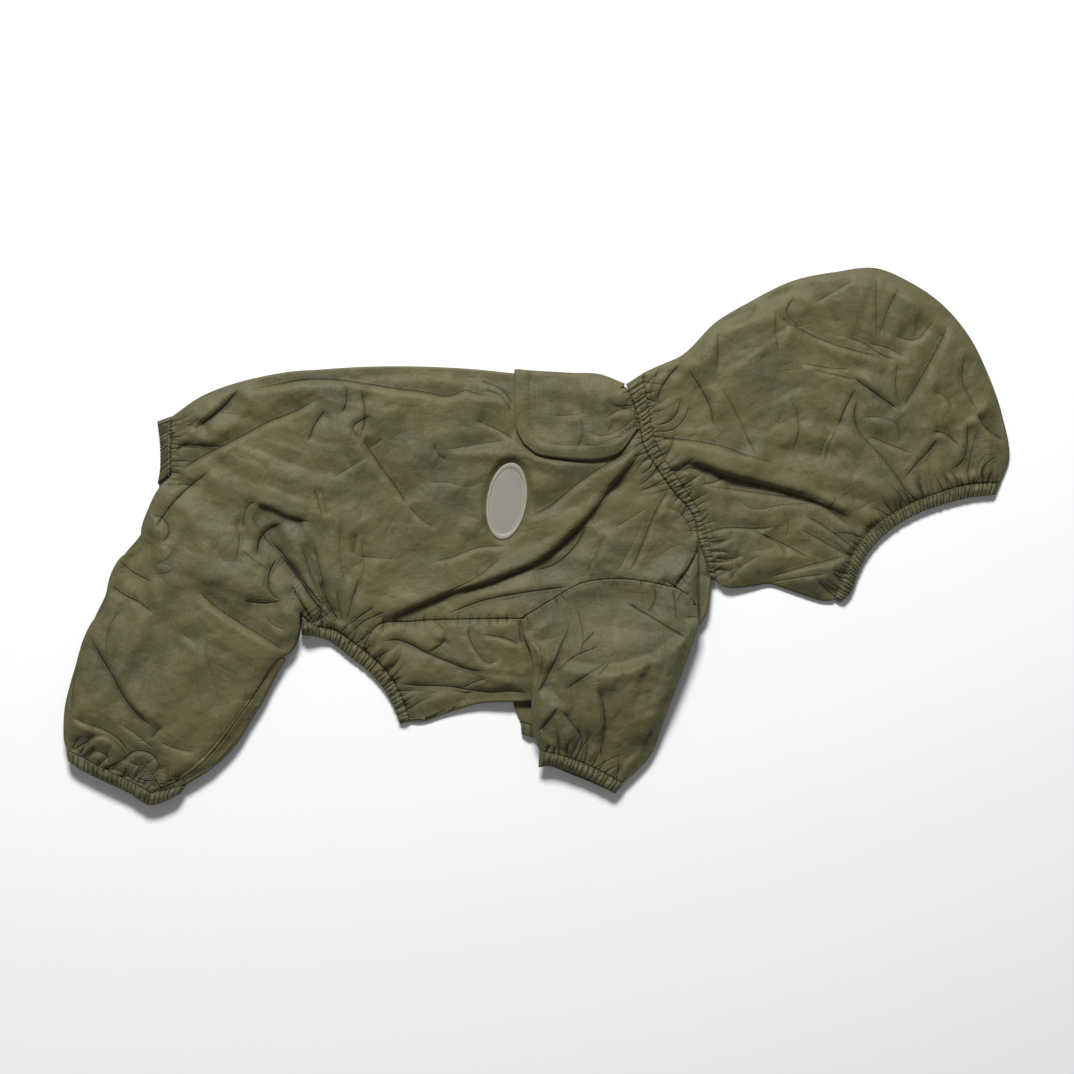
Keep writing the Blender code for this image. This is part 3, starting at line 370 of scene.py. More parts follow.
def distance(points, outline):
    """Distance of plan points to a closed outline, and whether each is inside it."""
    a, b = outline, np.roll(outline, -1, axis=0)
    run = b - a
    size = np.maximum((run**2).sum(1), TINY)
    rise = np.where(run[:, 1] == 0, TINY, run[:, 1])
    flat = points.reshape(-1, 2)
    nearest, inside = np.empty(len(flat)), np.empty(len(flat), bool)
    for start in range(0, len(flat), CHUNK):
        part = flat[start:start + CHUNK]
        gap = part[:, None] - a[None]
        t = np.clip((gap * run).sum(2) / size, 0, 1)
        nearest[start:start + CHUNK] = np.sqrt(((gap - t[..., None] * run)**2).sum(2)).min(1)
        x, y = part[:, None, 0], part[:, None, 1]
        crosses = (a[:, 1] > y) != (b[:, 1] > y)
        crosses &= x < a[:, 0] + (y - a[:, 1]) / rise * run[:, 0]
        inside[start:start + CHUNK] = crosses.sum(1) % 2 == 1
    return nearest.reshape(points.shape[:-1]), inside.reshape(points.shape[:-1])


def near(points, outline, skirt, margin=0.0):
    """1 up to margin mm outside an outline, falling smoothly to 0 at skirt mm."""
    gap, inside = distance(points, outline)
    return np.where(inside, 1.0, smooth((skirt - gap) / (skirt - margin)))


def opened(points, outline=COAT, width=EDGE):
    """0 at the outline, where the two sides meet, to 1 where they lie loose."""
    gap, inside = distance(points, outline)
    return np.where(inside, smooth(gap / width), 0.0)


print("the patch is", round(float(distance(oval(0.0)[:1], COAT)[0][0])), "mm from the edge")

# %% [markdown]
# ## Creases
# Taffeta is stiff for its weight: it doesn't sag in round waves but buckles along sharp
# lines, with a steep side and a slack side.  The main creases are drawn, each as
# a line with a height and a width to its left and to its right.  A crease that is low on
# one side and high on the other is a fold that lies over its neighbour.  They are added
# up on a relief map of the whole coat, half a millimetre to the cell, and every mesh
# then reads its height from the map.  A cloth simulation could drape such a coat, but it
# would not put these folds where the real ones are, so drawing them is the better way.

# %% The relief map
CELL = 0.5
WEST, SOUTH = -275.0, -160.0
COLUMNS, ROWS = 1101, 641
CUSP = 0.35         # rounding of a crease along its line
LIP = 0.75          # softness of the side of a fold that leans over its neighbour
LEAN = 0.9          # how far beside the line that side stands
WIDEN = 1.7         # the cloth slopes away this much more widely than the tables say
OVER = 3.6          # a crease is over at so many times its width
FADE = 0.18         # share of a crease over which it fades at each end
DRAW_IN = 0.45      # share by which mesh lines are drawn towards a crease
DRAW_WIDTH = 2.2    # from how far away
MOST_DRAW = 0.7     # but no mesh point moves farther than this
LINE_SETS = 4       # crease lines that lie close together go to different sets
LINE_REACH = 2.4    # how far beside a line its distance is kept
LINE_ROOM = 4.5     # lines closer than this are in each other's way
NO_LINE = 9.0       # the distance where no line is near
BY_DEPTH = 0.26     # how strong a crease's line is, for each mm that it is deep
BY_STEP = 0.12      # and for each mm between its two sides
DEEPEST = 4.4       # creases that meet don't add up to more than this
AROUND = 3.0        # a place is deep by its height below what lies so far around it


class Relief:
    """Heights added to a layer of cloth, and how its mesh lines are drawn to the creases.

    The sharp line at the bottom of a crease is finer than the mesh.  For each set of lines
    the map keeps the signed distance to the nearest one and how deep it is; a distance is
    read between two mesh points without loss, so the finish can draw the line sharply, as a
    bump and as painted shade.
    """

    def __init__(self):
        self.height = np.zeros((ROWS, COLUMNS))
        self.draw = np.zeros((ROWS, COLUMNS, 2))
        self.gaps = np.full((LINE_SETS, ROWS, COLUMNS), NO_LINE)
        self.deeps = np.zeros((LINE_SETS, ROWS, COLUMNS))

    def window(self, points, reach):
        """The map cells within reach of some points: their slices and plan points."""
        low = (points.min(0) - reach - (WEST, SOUTH)) / CELL
        high = (points.max(0) + reach - (WEST, SOUTH)) / CELL
        c0, r0 = np.maximum(low.astype(int), 0)
        c1, r1 = np.minimum(high.astype(int) + 2, (COLUMNS, ROWS))
        x, y = np.meshgrid(WEST + np.arange(c0, c1) * CELL, SOUTH + np.arange(r0, r1) * CELL)
        return (slice(r0, r1), slice(c0, c1)), np.stack([x, y], axis=-1)

    def crease(self, left, left_width, right, right_width, points, head=FADE, tail=FADE,
               sharp=1.0):
        """One crease along a smooth line; left and right are as you walk along it."""
        rows = np.array(points, float).reshape(-1, 2)
        line = edge(rows, 4 * len(rows)) if len(rows) > 2 else rows
        left_width, right_width = WIDEN * left_width, WIDEN * right_width
        window, cells = self.window(line, OVER * max(left_width, right_width))
        ends = reach_along(line)
        best = np.full(cells.shape[:2], 1e9)
        off, along, ways = np.zeros_like(best), np.zeros_like(best), np.zeros_like(cells)
        for k in range(len(line) - 1):
            run = line[k + 1] - line[k]
            size = norm(run)
            gap = cells - line[k]
            t = np.clip((gap @ run) / size**2, 0, 1)
            away = gap - t[..., None] * run
            apart = (away**2).sum(-1)
            side = (gap @ np.array([-run[1], run[0]])) / size
            closer = apart < best
            best = np.where(closer, apart, best)
            off = np.where(closer, np.sign(side) * np.sqrt(apart), off)
            along = np.where(closer, (ends[k] + t * size) / ends[-1], along)
            ways = np.where(closer[..., None], away, ways)
        fade = smooth(along / head) if head else 1.0
        fade = fade * (smooth((1 - along) / tail) if tail else 1.0)
        lean = LEAN * np.sign(abs(left) * (left > right) - abs(right) * (right > left))
        high = 1 / (1 + np.exp(-np.clip((off - lean) / LIP, -30, 30)))
        far = np.sqrt(off**2 + CUSP**2) - CUSP
        self.height[window] += fade * (high * left * np.exp(-far / left_width)
                                       + (1 - high) * right * np.exp(-far / right_width))
        pull = DRAW_IN * min(1.0, max(abs(left), abs(right))) * np.exp(-best / DRAW_WIDTH**2) * fade
        self.draw[window] -= ways * pull[..., None]
        if sharp:
            deep = min(1.0, BY_DEPTH * max(0.0, -left, -right) + BY_STEP * abs(left - right))
            deep = deep * sharp * fade
            self.line(window, off, deep * smooth(1.15 - np.sqrt(best) / LINE_REACH))

    def line(self, window, off, deep):
        """Adds a sharp line to the set that has the most room for it."""
        taken = [(self.deeps[k][window] * (np.abs(off) < LINE_ROOM) * (deep > 0)).sum()
                 for k in range(LINE_SETS)]
        k = int(np.argmin(taken))
        gap, kept = self.gaps[k][window], self.deeps[k][window]
        nearer = np.abs(off) < np.abs(gap)
        self.gaps[k][window] = np.where(nearer, off, gap)
        self.deeps[k][window] = np.where(nearer, deep, kept)

    def around(self, x, y, angle, reach):
        """The cells round a place, and how far each lies along and across a direction."""
        window, cells = self.window(np.array([[x, y]], float), reach)
        way = np.array([math.cos(angle), math.sin(angle)])
        return window, (cells - (x, y)) @ way, (cells - (x, y)) @ np.array([-way[1], way[0]])

    def roll(self, x, y, angle, long, gentle, steep, height):
        """A long soft roll with a gentle slope on one side and a steep one on the other."""
        window, u, v = self.around(x, y, angle, 2.4 * max(long, gentle))
        wide = np.where(v > 0, gentle, steep)
        self.height[window] += height * np.exp(-(u / long)**2 - (v / wide)**2)

    def pleats(self, x, y, angle, pitch, radius, height):
        """A round patch folded to and fro like a fan, with flat faces and sharp edges."""
        window, u, v = self.around(x, y, angle, 2.2 * radius)
        across = (v + 0.10 * u * np.sin(u / 31.0)) / pitch
        faces = 4 * np.abs(across - np.floor(across) - 0.5) - 1
        self.height[window] += height * faces * np.exp(-(u**2 + v**2) / radius**2)

    def at(self, field, points):
        """Values of one of the map's fields at plan points."""
        x = np.clip((points[..., 0] - WEST) / CELL, 0, COLUMNS - 1.001)
        y = np.clip((points[..., 1] - SOUTH) / CELL, 0, ROWS - 1.001)
        c, r = x.astype(int), y.astype(int)
        fx, fy = x - c, y - r
        if field.ndim == 3:
            fx, fy = fx[..., None], fy[..., None]
        return ((field[r, c] * (1 - fx) + field[r, c + 1] * fx) * (1 - fy)
                + (field[r + 1, c] * (1 - fx) + field[r + 1, c + 1] * fx) * fy)

    def finish(self):
        """Keeps the drawn-in mesh lines in order, and works out how deep each place lies."""
        size = norm(self.draw, axis=-1, keepdims=True)
        self.draw *= np.minimum(1, MOST_DRAW / np.maximum(size, TINY))
        self.height = DEEPEST * np.tanh(self.height / DEEPEST)
        self.depth = self.height - blurred(self.height, AROUND)


def blurred(field, radius):
    """The field averaged over a few millimetres."""
    reach = int(2.5 * radius / CELL)
    weights = np.exp(-(np.arange(-reach, reach + 1) * CELL / radius)**2)
    weights /= weights.sum()
    for axis in (0, 1):
        padded = np.pad(field, [(reach, reach) if a == axis else (0, 0) for a in (0, 1)], "edge")
        size = field.shape[axis]
        field = sum(weight * np.take(padded, range(k, k + size), axis)
                    for k, weight in enumerate(weights))
    return field


print("relief map", COLUMNS, "by", ROWS, "cells of", CELL, "mm")

# %% [markdown]
# The tables below are the main creases of each part of the coat.  Each row says how high
# and how wide the cloth is on the left of the crease, the same on the right, and where
# the crease runs, all in millimetres.

# %% Creases of the body and the leg
# Columns: left height, left width, right height, right width, points x, y.
BODY_CREASES = (
    # along the back and from the tail band
    (-2.6, 5, 0.7, 9, -166, 81.5, -150, 84, -130, 87.5, -108, 87, -95, 85, -75, 82, -60, 80,
      -50, 78.3, -45, 79.5, -40, 81.5, -35, 80, -25, 78.5, -14, 76),
    (1.0, 5, -2.0, 3, -192, 60, -183, 66, -175, 73, -166, 83),
    (-2.6, 4.5, 0.9, 8, -204.5, 34, -190, 43, -165, 56, -150, 64, -137, 69, -120, 78),
    (-0.7, 2, 0.3, 2, -204, 59, -195, 62, -188, 60),
    (0.6, 3, -1.0, 2.5, -204, 45, -198, 51, -190, 51, -175, 50),
    (-1.2, 5, -2.0, 6, -214, 3, -205, 16, -195, 27, -182, 37),
    (-0.3, 2, 0.2, 3, -214, -7, -207, -5, -203, -9, -206, -13, -211, -15, -205, -16, -202, -19,
      -208, -21, -218, -21),
    (-1.2, 6, -1.6, 6, -234, -13, -226, -20, -214, -26),
    (-0.7, 4, -1.3, 4, -239, -27, -230, -33, -222, -37, -214, -43),
    (-1.0, 4, 0.5, 5, -216, 12, -209, 10, -205, 3, -208, -4),
    # crumple on the hip
    (-1.0, 2, 0.3, 3, -164, 3, -163.5, 12, -160, 18, -156, 19),
    (0.9, 5, -1.7, 4.5, -158, 18, -148, 15, -140, 11, -127, 8),
    (-2.2, 3.5, 0.4, 4, -142, 7.5, -150, 4, -155, -2, -156.5, -12),
    (1.3, 3, -1.5, 2.5, -150, -2, -143, -9, -135, -19, -126, -31, -117, -42),
    (-1.2, 2, 0.7, 2.5, -145, -12, -149, -20, -149, -30, -146, -34, -142, -36),
    (0.8, 1.8, -0.4, 2, -165, -8, -157, -14, -151, -18),
    (-0.4, 3, -1.7, 4, -164, -36, -152, -37.5, -142, -36),
    (-0.6, 1.6, 0.3, 2, -152, -44, -149, -48, -140, -53),
    (-0.8, 2.0, 0.4, 2, -160, 12, -150, -4, -146, -8),
    # the leg
    (-2.5, 4.5, 0.9, 7, -190, -29, -180, -39, -168, -47, -150, -58, -142, -63, -136, -65.5),
    (1.0, 5, -1.6, 4, -251, -53, -238, -76, -225, -97, -211, -109),
    (-1.8, 4, 0.8, 3, -260, -101, -250, -105, -240, -109, -232, -115, -228, -122),
    (-0.9, 2, 0.3, 2, -232, -105, -222, -112, -213, -119),
    (-1.3, 1.2, -0.3, 1.2, -216, -113.5, -212, -109, -209, -106),
    (-0.9, 2, 0.4, 3, -210, -115, -200, -119, -190, -120.5),
    (-1.9, 2.2, 0.7, 2.2, -254, -130, -254, -120, -249, -113, -242, -111, -234, -116, -230, -124,
      -231, -128),
    (-1.5, 1.8, 0.5, 1.8, -250, -131, -251, -124, -246, -120, -240, -123, -238, -130),
    (-1.5, 2, 0.6, 2.2, -232, -128, -228, -122, -222, -120, -215, -122, -211, -128, -214, -134),
    (-1.5, 1.6, 0.4, 1.6, -228, -126, -222, -129, -224, -134, -218, -137, -212, -136),
    (-1.3, 1.4, 0.4, 1.6, -243, -134, -238, -130, -232, -132),
    (-1.2, 1.6, 0.3, 1.6, -236, -136, -229, -134, -222, -138, -214, -138),
    (-0.4, 1.6, 0.4, 2, -184, -57, -184, -66, -180, -80, -176, -97),
    (0.4, 2, -0.3, 1.6, -188, -60, -190, -75, -187, -98),
    (-0.3, 2, 0.3, 2, -198, -54, -190, -60, -184, -70),
    (-0.6, 2.5, 0.2, 3, -231, -40, -237, -48, -240, -60, -238, -74),
    (-0.6, 3, 0.3, 3, -256, -70, -259, -85, -260, -100),
    (0.5, 1.2, -0.6, 1.2, -156, -83.5, -165, -97, -174, -109, -188, -125, -205, -138),
    # down the side
    (-1.3, 4, -0.4, 4, -98, 82, -96, 66, -98, 56),
    (-1.0, 2.5, 0.4, 4, -92, 68, -103, 60, -97, 53),
    (-2.2, 3.6, 0.8, 8, -99, 56, -94, 49, -88, 40, -80, 29, -71, 16),
    (-0.8, 1.6, 0.2, 2, -94, 49, -90, 52, -86, 55),
    (-0.8, 1.4, 0.3, 2, -72, 17, -65, 10, -56, 4),
    (-0.8, 1.8, 0.4, 3, -107, 85, -106, 76, -109, 68),
    (-0.9, 3, 0.3, 4, -118, 71, -124, 62, -128, 52),
    (-0.7, 1.3, 0.2, 2, -124.5, 27, -122, 19, -119, 10),
    (-0.5, 1.2, 0.2, 2, -121, 27, -119, 20, -117, 10),
    (-0.5, 1.8, 0.3, 3, -115, 32, -105, 38, -95, 44),
    (-0.7, 1.3, 0.3, 2, -58, 52, -55, 46, -50, 42),
    (-0.5, 1.3, 0.2, 2, -50, 48, -35, 51, -15, 54),
    (-0.4, 1.2, 0.2, 2, -48, 47, -25, 49.5),
    (-1.2, 6, 0.3, 4, -35, 65, -25, 61, -12, 54),
    (-0.9, 2.2, 0.4, 3, -32, 87, -23, 84, -16, 78, -13, 72),
    (-0.8, 2, 0.3, 3, -30, 82, -21, 79, -13, 68),
    (-0.5, 1.6, 0.2, 2, -60, 30, -50, 30, -42, 28),
    (-0.8, 1.3, 0.3, 2, -103, -11, -102, -5, -100.5, 2),
    (-0.5, 1.3, 0.2, 2, -101, -11, -92, -12, -78, -13),
    (-0.9, 3, 0.6, 3, -59, -15, -45, -11, -35, -7, -15, -5),
    (-0.4, 2.2, 0.3, 2, -109, 12, -110, -10, -106, -30),
    (-0.4, 2.2, 0.3, 2, -98, 0, -97, -20, -104, -36),
    (-0.7, 4, 0.3, 4, -170, 12, -166, 0, -168, -16),
    # fan of folds at the groin
    (1.1, 2.5, -1.4, 2.5, -146, -8, -133, -24, -124, -37, -112, -50),
    (-1.4, 3.5, 0.3, 3, -132, -2, -126, -22, -118, -38, -111, -50),
    (0.9, 3, -0.6, 3, -126, 0, -121, -20, -117, -36, -110, -49),
    (-1.1, 2, 0.4, 2, -122, -24, -117, -38, -109, -50),
    (-0.9, 1.5, 0.4, 1.5, -112, -30, -110, -42, -108.5, -50),
    (-0.7, 2, 0.4, 2, -99, -22, -103, -36, -107, -50),
    (-1.0, 2, 0.6, 2, -90, -39, -99, -45, -106, -51),
    (-0.8, 1.6, 0.4, 2, -84, -42, -97, -48, -104, -54),
    (1.5, 3.5, -2.4, 3, -138, -26, -131, -38, -124, -50),
    # the long fold from the belly to the neck, and what goes with it
    (1.9, 4.5, -2.6, 5, -90, -50, -75, -43, -60, -37, -45, -31, -30, -27, -15, -21.5, 0, -15,
      15, -4, 28, 8),
    (1.2, 5, -1.9, 5, 10, -8, 28, 9, 42, 27, 52, 39, 60, 48),
    (-1.0, 3, 0.9, 2, -52, -32, -35, -24, -20, -12),
    (0.9, 5, -1.1, 4, -52, -44.5, -30, -36, -10, -32, 20, -28),
    (-1.6, 5, 1.2, 6, -8, 9, 8, 17, 20, 27, 42, 42, 57, 50),
    (-1.8, 7, -0.6, 6, 29, 7, 22, -5, 10, -16, -4, -20),
    (0.8, 4, -1.4, 2.5, 75, 27, 70, 20, 65, 10, 59, -5, 52, -21),
    (-0.7, 2.5, 0.4, 3, 72, 17, 79, 14, 85, 7, 88, -2),
    (-0.6, 2, 0.3, 3, 27, -23, 33, -10, 39, 2),
    (-0.5, 2.5, 0.3, 3, 44, -22, 53, -6, 60, 10),
    (-0.5, 2, 0.3, 3, 44, 5, 56, 12, 62, 16),
    (-0.8, 1.6, 0.4, 2, 89, -10, 83, -20, 77, -27),
    # the chest
    (-0.2, 3, -2.0, 3.5, -88, -60, -80, -58, -72, -60, -62, -65, -50, -70, -35, -75, -27, -75),
    (1.2, 2.5, 0.6, 3, -70, -66, -50, -73, -25, -80, -8, -84),
    (-1.2, 4, -2.4, 5, -80, -82, -68, -83.5, -50, -84, -30, -87, -10, -87, -3, -88),
    (-1.0, 1.3, 0.3, 1.6, -41, -84.5, -33, -81, -28, -79.5),
    (-1.0, 2, 0.5, 2, -37, -48, -38, -55, -33, -65, -27, -71, -20, -68),
    (-1.5, 3, 0.3, 3, -30, -55, -18, -57, -8, -61),
    (-1.7, 2.5, -0.8, 2.5, -9, -46, -9.5, -53, -8, -61),
    (-1.2, 1.5, 0.4, 1.5, -5, -46, -6, -55, -2, -68),
    (-0.8, 1.6, 0.3, 2, -50, -57, -54, -61, -60, -65),
    (-0.6, 2.2, 0.3, 2, -55, -49, -51, -55, -54, -60),
    (-0.5, 2, 0.3, 2, -46, -86, -40, -88, -34, -87),
    (-0.9, 1.3, 0.3, 2, 91, -3, 95, -16, 97, -26),
)
THROAT_PLEAT = (-2.4, 1.4, -1.6, 1.1, 90.8, -2, 90.7, -20, 90.6, -35, 90.6, -50)

# %% Creases of the hood
HOOD_CREASES = (
    (1.9, 6, -3.4, 4.2, 79, 39, 85, 40.5, 95, 38, 105, 34, 125, 28.8, 140, 24.8, 155, 20,
      165, 15.5, 178, 8.5),
    (-0.8, 2.5, 1.1, 4, 91, 28, 110, 26, 130, 23.2, 150, 20, 157, 18.2, 170, 10, 184, -0.5),
    (-1.2, 1.6, 0.5, 2, 92, 29, 100, 30.5, 106, 34),
    (-0.9, 2, 0.4, 2, 80, 36.5, 85, 38, 92, 36.5, 97, 33),
    (-1.6, 4, 0.9, 6, 63, 55, 80, 54, 95, 52, 110, 48, 121, 43),
    (-0.6, 3, 0.4, 4, 100, 49, 118, 45, 136, 39),
    (-0.9, 1.6, 0.3, 2, 64, 69.5, 67, 69.5, 71, 71),
    (0.5, 2, -0.9, 2.5, 66, 62, 74, 64, 79, 70, 81, 78),
    (0.4, 2, -0.8, 2.5, 66, 58, 77, 60, 84, 68, 86, 76),
    (-0.8, 3, 0.4, 2, 70, 96, 66, 88, 64, 80, 66, 74),
    (-1.2, 2.4, 0.5, 3, 81, 97, 73, 88, 68, 78, 67, 72),
    (-0.5, 1.4, 0.2, 2, 101.5, 115, 101.5, 103, 100.5, 90),
    (-0.7, 2.2, 0.3, 3, 102, 85, 108, 75, 114, 64, 118.5, 54, 124, 43),
    (0.5, 2, -1.1, 5, 84, 94, 91, 84, 97, 72, 99, 60),
    (-0.5, 1.4, 0.3, 2, 134, 128, 134, 112, 136, 99),
    (-1.0, 2.4, 0.5, 3, 130, 128, 140, 120, 155, 112, 170, 106, 185, 102, 201, 98.5),
    (-1.0, 1.6, 0.4, 2, 172, 112, 183, 108, 192, 102, 201, 98.5),
    (-0.8, 1.5, 0.3, 2, 186, 108, 197, 105, 207, 100),
    (-0.7, 1.6, 0.3, 2, 148, 97, 163, 94, 177, 93),
    (-0.9, 1.8, 0.4, 2, 155, 93, 170, 89.5, 179, 87),
    (0.6, 5, -1.1, 3, 176, 90, 185, 83, 195, 76, 203, 70),
    (-1.7, 2.6, 0.6, 5, 203, 69.5, 210, 80, 217, 92, 224, 105, 231, 119),
    (-0.7, 4, 0.2, 3, 202, 98, 201, 85, 203, 71),
    (-0.6, 2.6, 0.3, 3, 190, 146, 190, 127, 190.5, 111),
    (-0.5, 2, 0.3, 3, 203, 140, 196, 125, 191, 110),
    (-0.6, 2, 0.3, 3, 155, 130, 165, 136, 178, 144),
    (-0.5, 1.6, 0.3, 3, 141, 79, 144.5, 72, 147, 60, 143, 47),
    (-0.8, 4, 0.4, 4, 179, 83, 173, 72, 168, 60),
    (-1.2, 3.2, 0.5, 4, 181, 81, 178, 68, 180, 59, 188, 50, 195, 42, 203, 31, 210, 18),
    (0.5, 1.2, -0.5, 1.2, 165, 60, 161, 52, 158, 42),
    (0.4, 1.2, -0.4, 1.2, 168, 60, 164, 51, 161, 40),
    (-0.8, 2.2, 0.4, 3, 181, 66, 192, 66.5, 201, 63, 203.5, 50),
    (-0.9, 2.2, 0.5, 3, 186, 56, 198, 51, 211, 46),
    (-1.3, 2.2, 0.5, 3, 221, 58.5, 228, 57.5, 236, 51),
    (-1.0, 1.8, 0.7, 2, 225, 55.5, 218, 46, 213, 41, 206, 32),
    (-2.2, 3.5, 0.9, 5, 246, 69, 250, 62, 256, 57, 263, 53),
    (-1.8, 3.5, 0.5, 4, 241, 64, 241, 52, 239, 43, 231, 36),
    (-0.7, 3, 0.6, 3, 247, 60, 243, 45, 241, 33),
    (0.7, 2, -0.8, 2, 252, 46, 247, 40, 246, 32),
    (-1.0, 2, 0.5, 2, 258, 45, 251, 40, 248, 31),
    (-0.7, 2, 0.3, 3, 221, 81, 228, 78, 233, 71),
    (-0.9, 7, 0.2, 6, 240, 104, 238, 88, 246, 70),
    (-0.9, 6, 0.2, 6, 200, 112, 212, 110, 222, 120),
    (-0.7, 5, 0.2, 5, 145, 135, 140, 125, 148, 116),
    (-0.5, 5, 0.3, 6, 106, 118, 118, 122, 124, 130),
    # below the deep fold
    (-1.3, 3, 0.8, 4, 95, 1.5, 105, 4.4, 120, 4.2, 134, 4.6),
    (-1.0, 1.4, 0.4, 2, 99, -12, 106, -13, 110, -12.5, 115, -10.5),
    (-1.0, 3, 0.7, 4, 118, 4, 133, -2, 145, -8, 154, -13),
    (-0.7, 1.6, 0.3, 2, 126, 1, 136, -5, 141, -12),
    (-2.0, 4, 0.6, 3, 131, -23, 145, -18.5, 158, -15, 176, -10),
    (-0.7, 1.6, 0.4, 2, 130, -26, 148, -23, 164, -21),
    (-1.2, 3, 0.6, 3, 150, 12, 160, 6, 179, -8),
    (-0.8, 3, 0.5, 3, 147, 4, 160, -3, 176, -12),
    (-0.6, 1.6, 0.3, 2, 112, 21, 119, 16, 124, 15, 135, 17, 156, 18),
    (-0.7, 3, 0.3, 3, 107, -26, 113, -18, 124, -11),
    (-0.4, 1.6, 0.2, 2, 138, 14, 141, 6, 140, -1),
)

# %% Creases of the sleeve and the flap
SLEEVE_CREASES = (
    (-1.9, 4, 0.5, 5, 19, -50, 14, -60, 10, -70, 5, -80, -1, -90),
    (-0.7, 2, 0.4, 3, 9, -78, 20, -68, 36, -61),
    (-0.8, 1.4, 0.3, 2, 25, -61, 33, -53),
    (-0.8, 1.4, 0.3, 2, 34, -78, 40, -71),
    (0.9, 8, 1.6, 7, 39, -55, 50, -80, 57, -98, 61, -109, 65, -117),
    (0.9, 5, 1.0, 6, -5, -66, 6, -59, 18, -52),
    (0.9, 5, 0.9, 6, -1, -92, 10, -80, 22, -68),
    (-1.9, 3.6, 0.3, 4, 33, -82, 37, -95, 38, -108, 36, -120, 37, -128),
    (-1.4, 4, 0.6, 5, 48, -36, 55, -40, 62, -44, 75, -52, 86, -58),
    (-0.8, 1.8, 0.3, 2, 76, -29, 77, -38, 78, -48),
    (-1.2, 2, 0.4, 2, 14, -97, 20, -105, 25, -113, 24, -121),
    (-0.9, 3, 0.4, 3, 12, -95, 7, -102, 1, -109),
    (-0.5, 4, 0.3, 4, 22, -38, 26, -55, 24, -70),
    (-0.5, 1.6, 0.2, 2, 82, -45.5, 90, -45),
    (-0.7, 5, 0.3, 6, 66, -28, 66, -36, 62, -43),
    (-0.7, 2, 0.4, 2, 64, -108, 61, -114, 60, -122),
    (-0.5, 3, 0.4, 4, 40, -70, 30, -76, 15, -86),
    (-0.5, 3, 0.4, 3, 2, -60, 3, -72, 0, -84),
)
FLAP_CREASES = (
    (-0.9, 2, 0.4, 2, 39, 66, 45, 70, 56, 72),
    (-0.4, 1.6, 0.2, 2, 8, 67, 18, 67.5, 28, 69),
    (-0.6, 2, 0.3, 2, 28, 59, 35, 56, 44, 58, 55, 66),
    (-0.5, 4, 0.2, 3, 24, 68, 26, 58, 22, 48),
    (-0.6, 1.6, 0.3, 2, 34, 51, 42, 54, 50, 57, 55, 63),
    (-0.5, 2, 0.2, 2, 41, 66, 42, 62, 40, 58),
)
# The line of stitches that holds the flap's hem.
TOPSTITCH = (-3.6, 92, -3.8, 80, -3.4, 68, -1.8, 58, 3, 53.3, 11, 51.2, 25, 50.6, 38, 51,
             45, 53.5, 50, 60, 53, 64)
print("creases drawn by hand:",
      sum(len(t) for t in (BODY_CREASES, HOOD_CREASES, SLEEVE_CREASES, FLAP_CREASES)))

# %% [markdown]
# Elastic draws the cloth together, so short pleats run out from every band.  They are far
# too many to draw, and their rule is simple: each starts at the seam, runs away from it
# more or less squarely, and fades out.  So they are sown along the seam with a fixed seed.

# %% Gathers along a seam
GATHER_GAIN = 3.6     # a gather's depth in the map, for each unit that is asked for


def gathers(relief, line, side, pitch, reach, depth, seed):
    """Pleats from a seam towards the side; their lengths and leans are uneven."""
    dice = np.random.default_rng(seed)
    ends = reach_along(line)
    inward = square_to(line, side)
    place = pitch * dice.random()
    while place < ends[-1]:
        start, way = read(line, ends, place), read(inward, ends, place)
        across = np.array([-way[1], way[0]])
        lean, bend = dice.normal(0, 0.28), dice.normal(0, 0.15)
        run = reach * (0.3 + 1.2 * dice.random()**2)
        deep = GATHER_GAIN * depth * (0.5 + dice.random())
        middle = start + (way + across * lean) * run * 0.5
        end = start + (way + across * (lean + bend)) * run
        wide = pitch * (0.22 + 0.22 * dice.random())
        relief.crease(-deep, wide, deep * dice.uniform(-0.6, 0.5), wide * 1.5,
                      np.concatenate([start - way, middle, end]), head=0.0, tail=0.8)
        place += pitch * (0.5 + dice.random())


# %% [markdown]
# Between the main creases thin cloth is never quite flat.  Hundreds of faint creases,
# most of them pointing to where the coat is drawn together, make it look crumpled, and
# soft mounds keep the light from lying evenly on it.

# %% Crumple
# How many of each there are on the body, for a share of 1.
FANS, RIDGES, ROLLS, LINES = 34, 70, 150, 300
PULLED_TO = np.array([(-205, 48), (-112, -52), (68, 45), (92, -8), (215, 20), (176, -20),
                      (-235, -135), (25, -128), (-85, -85)], float)


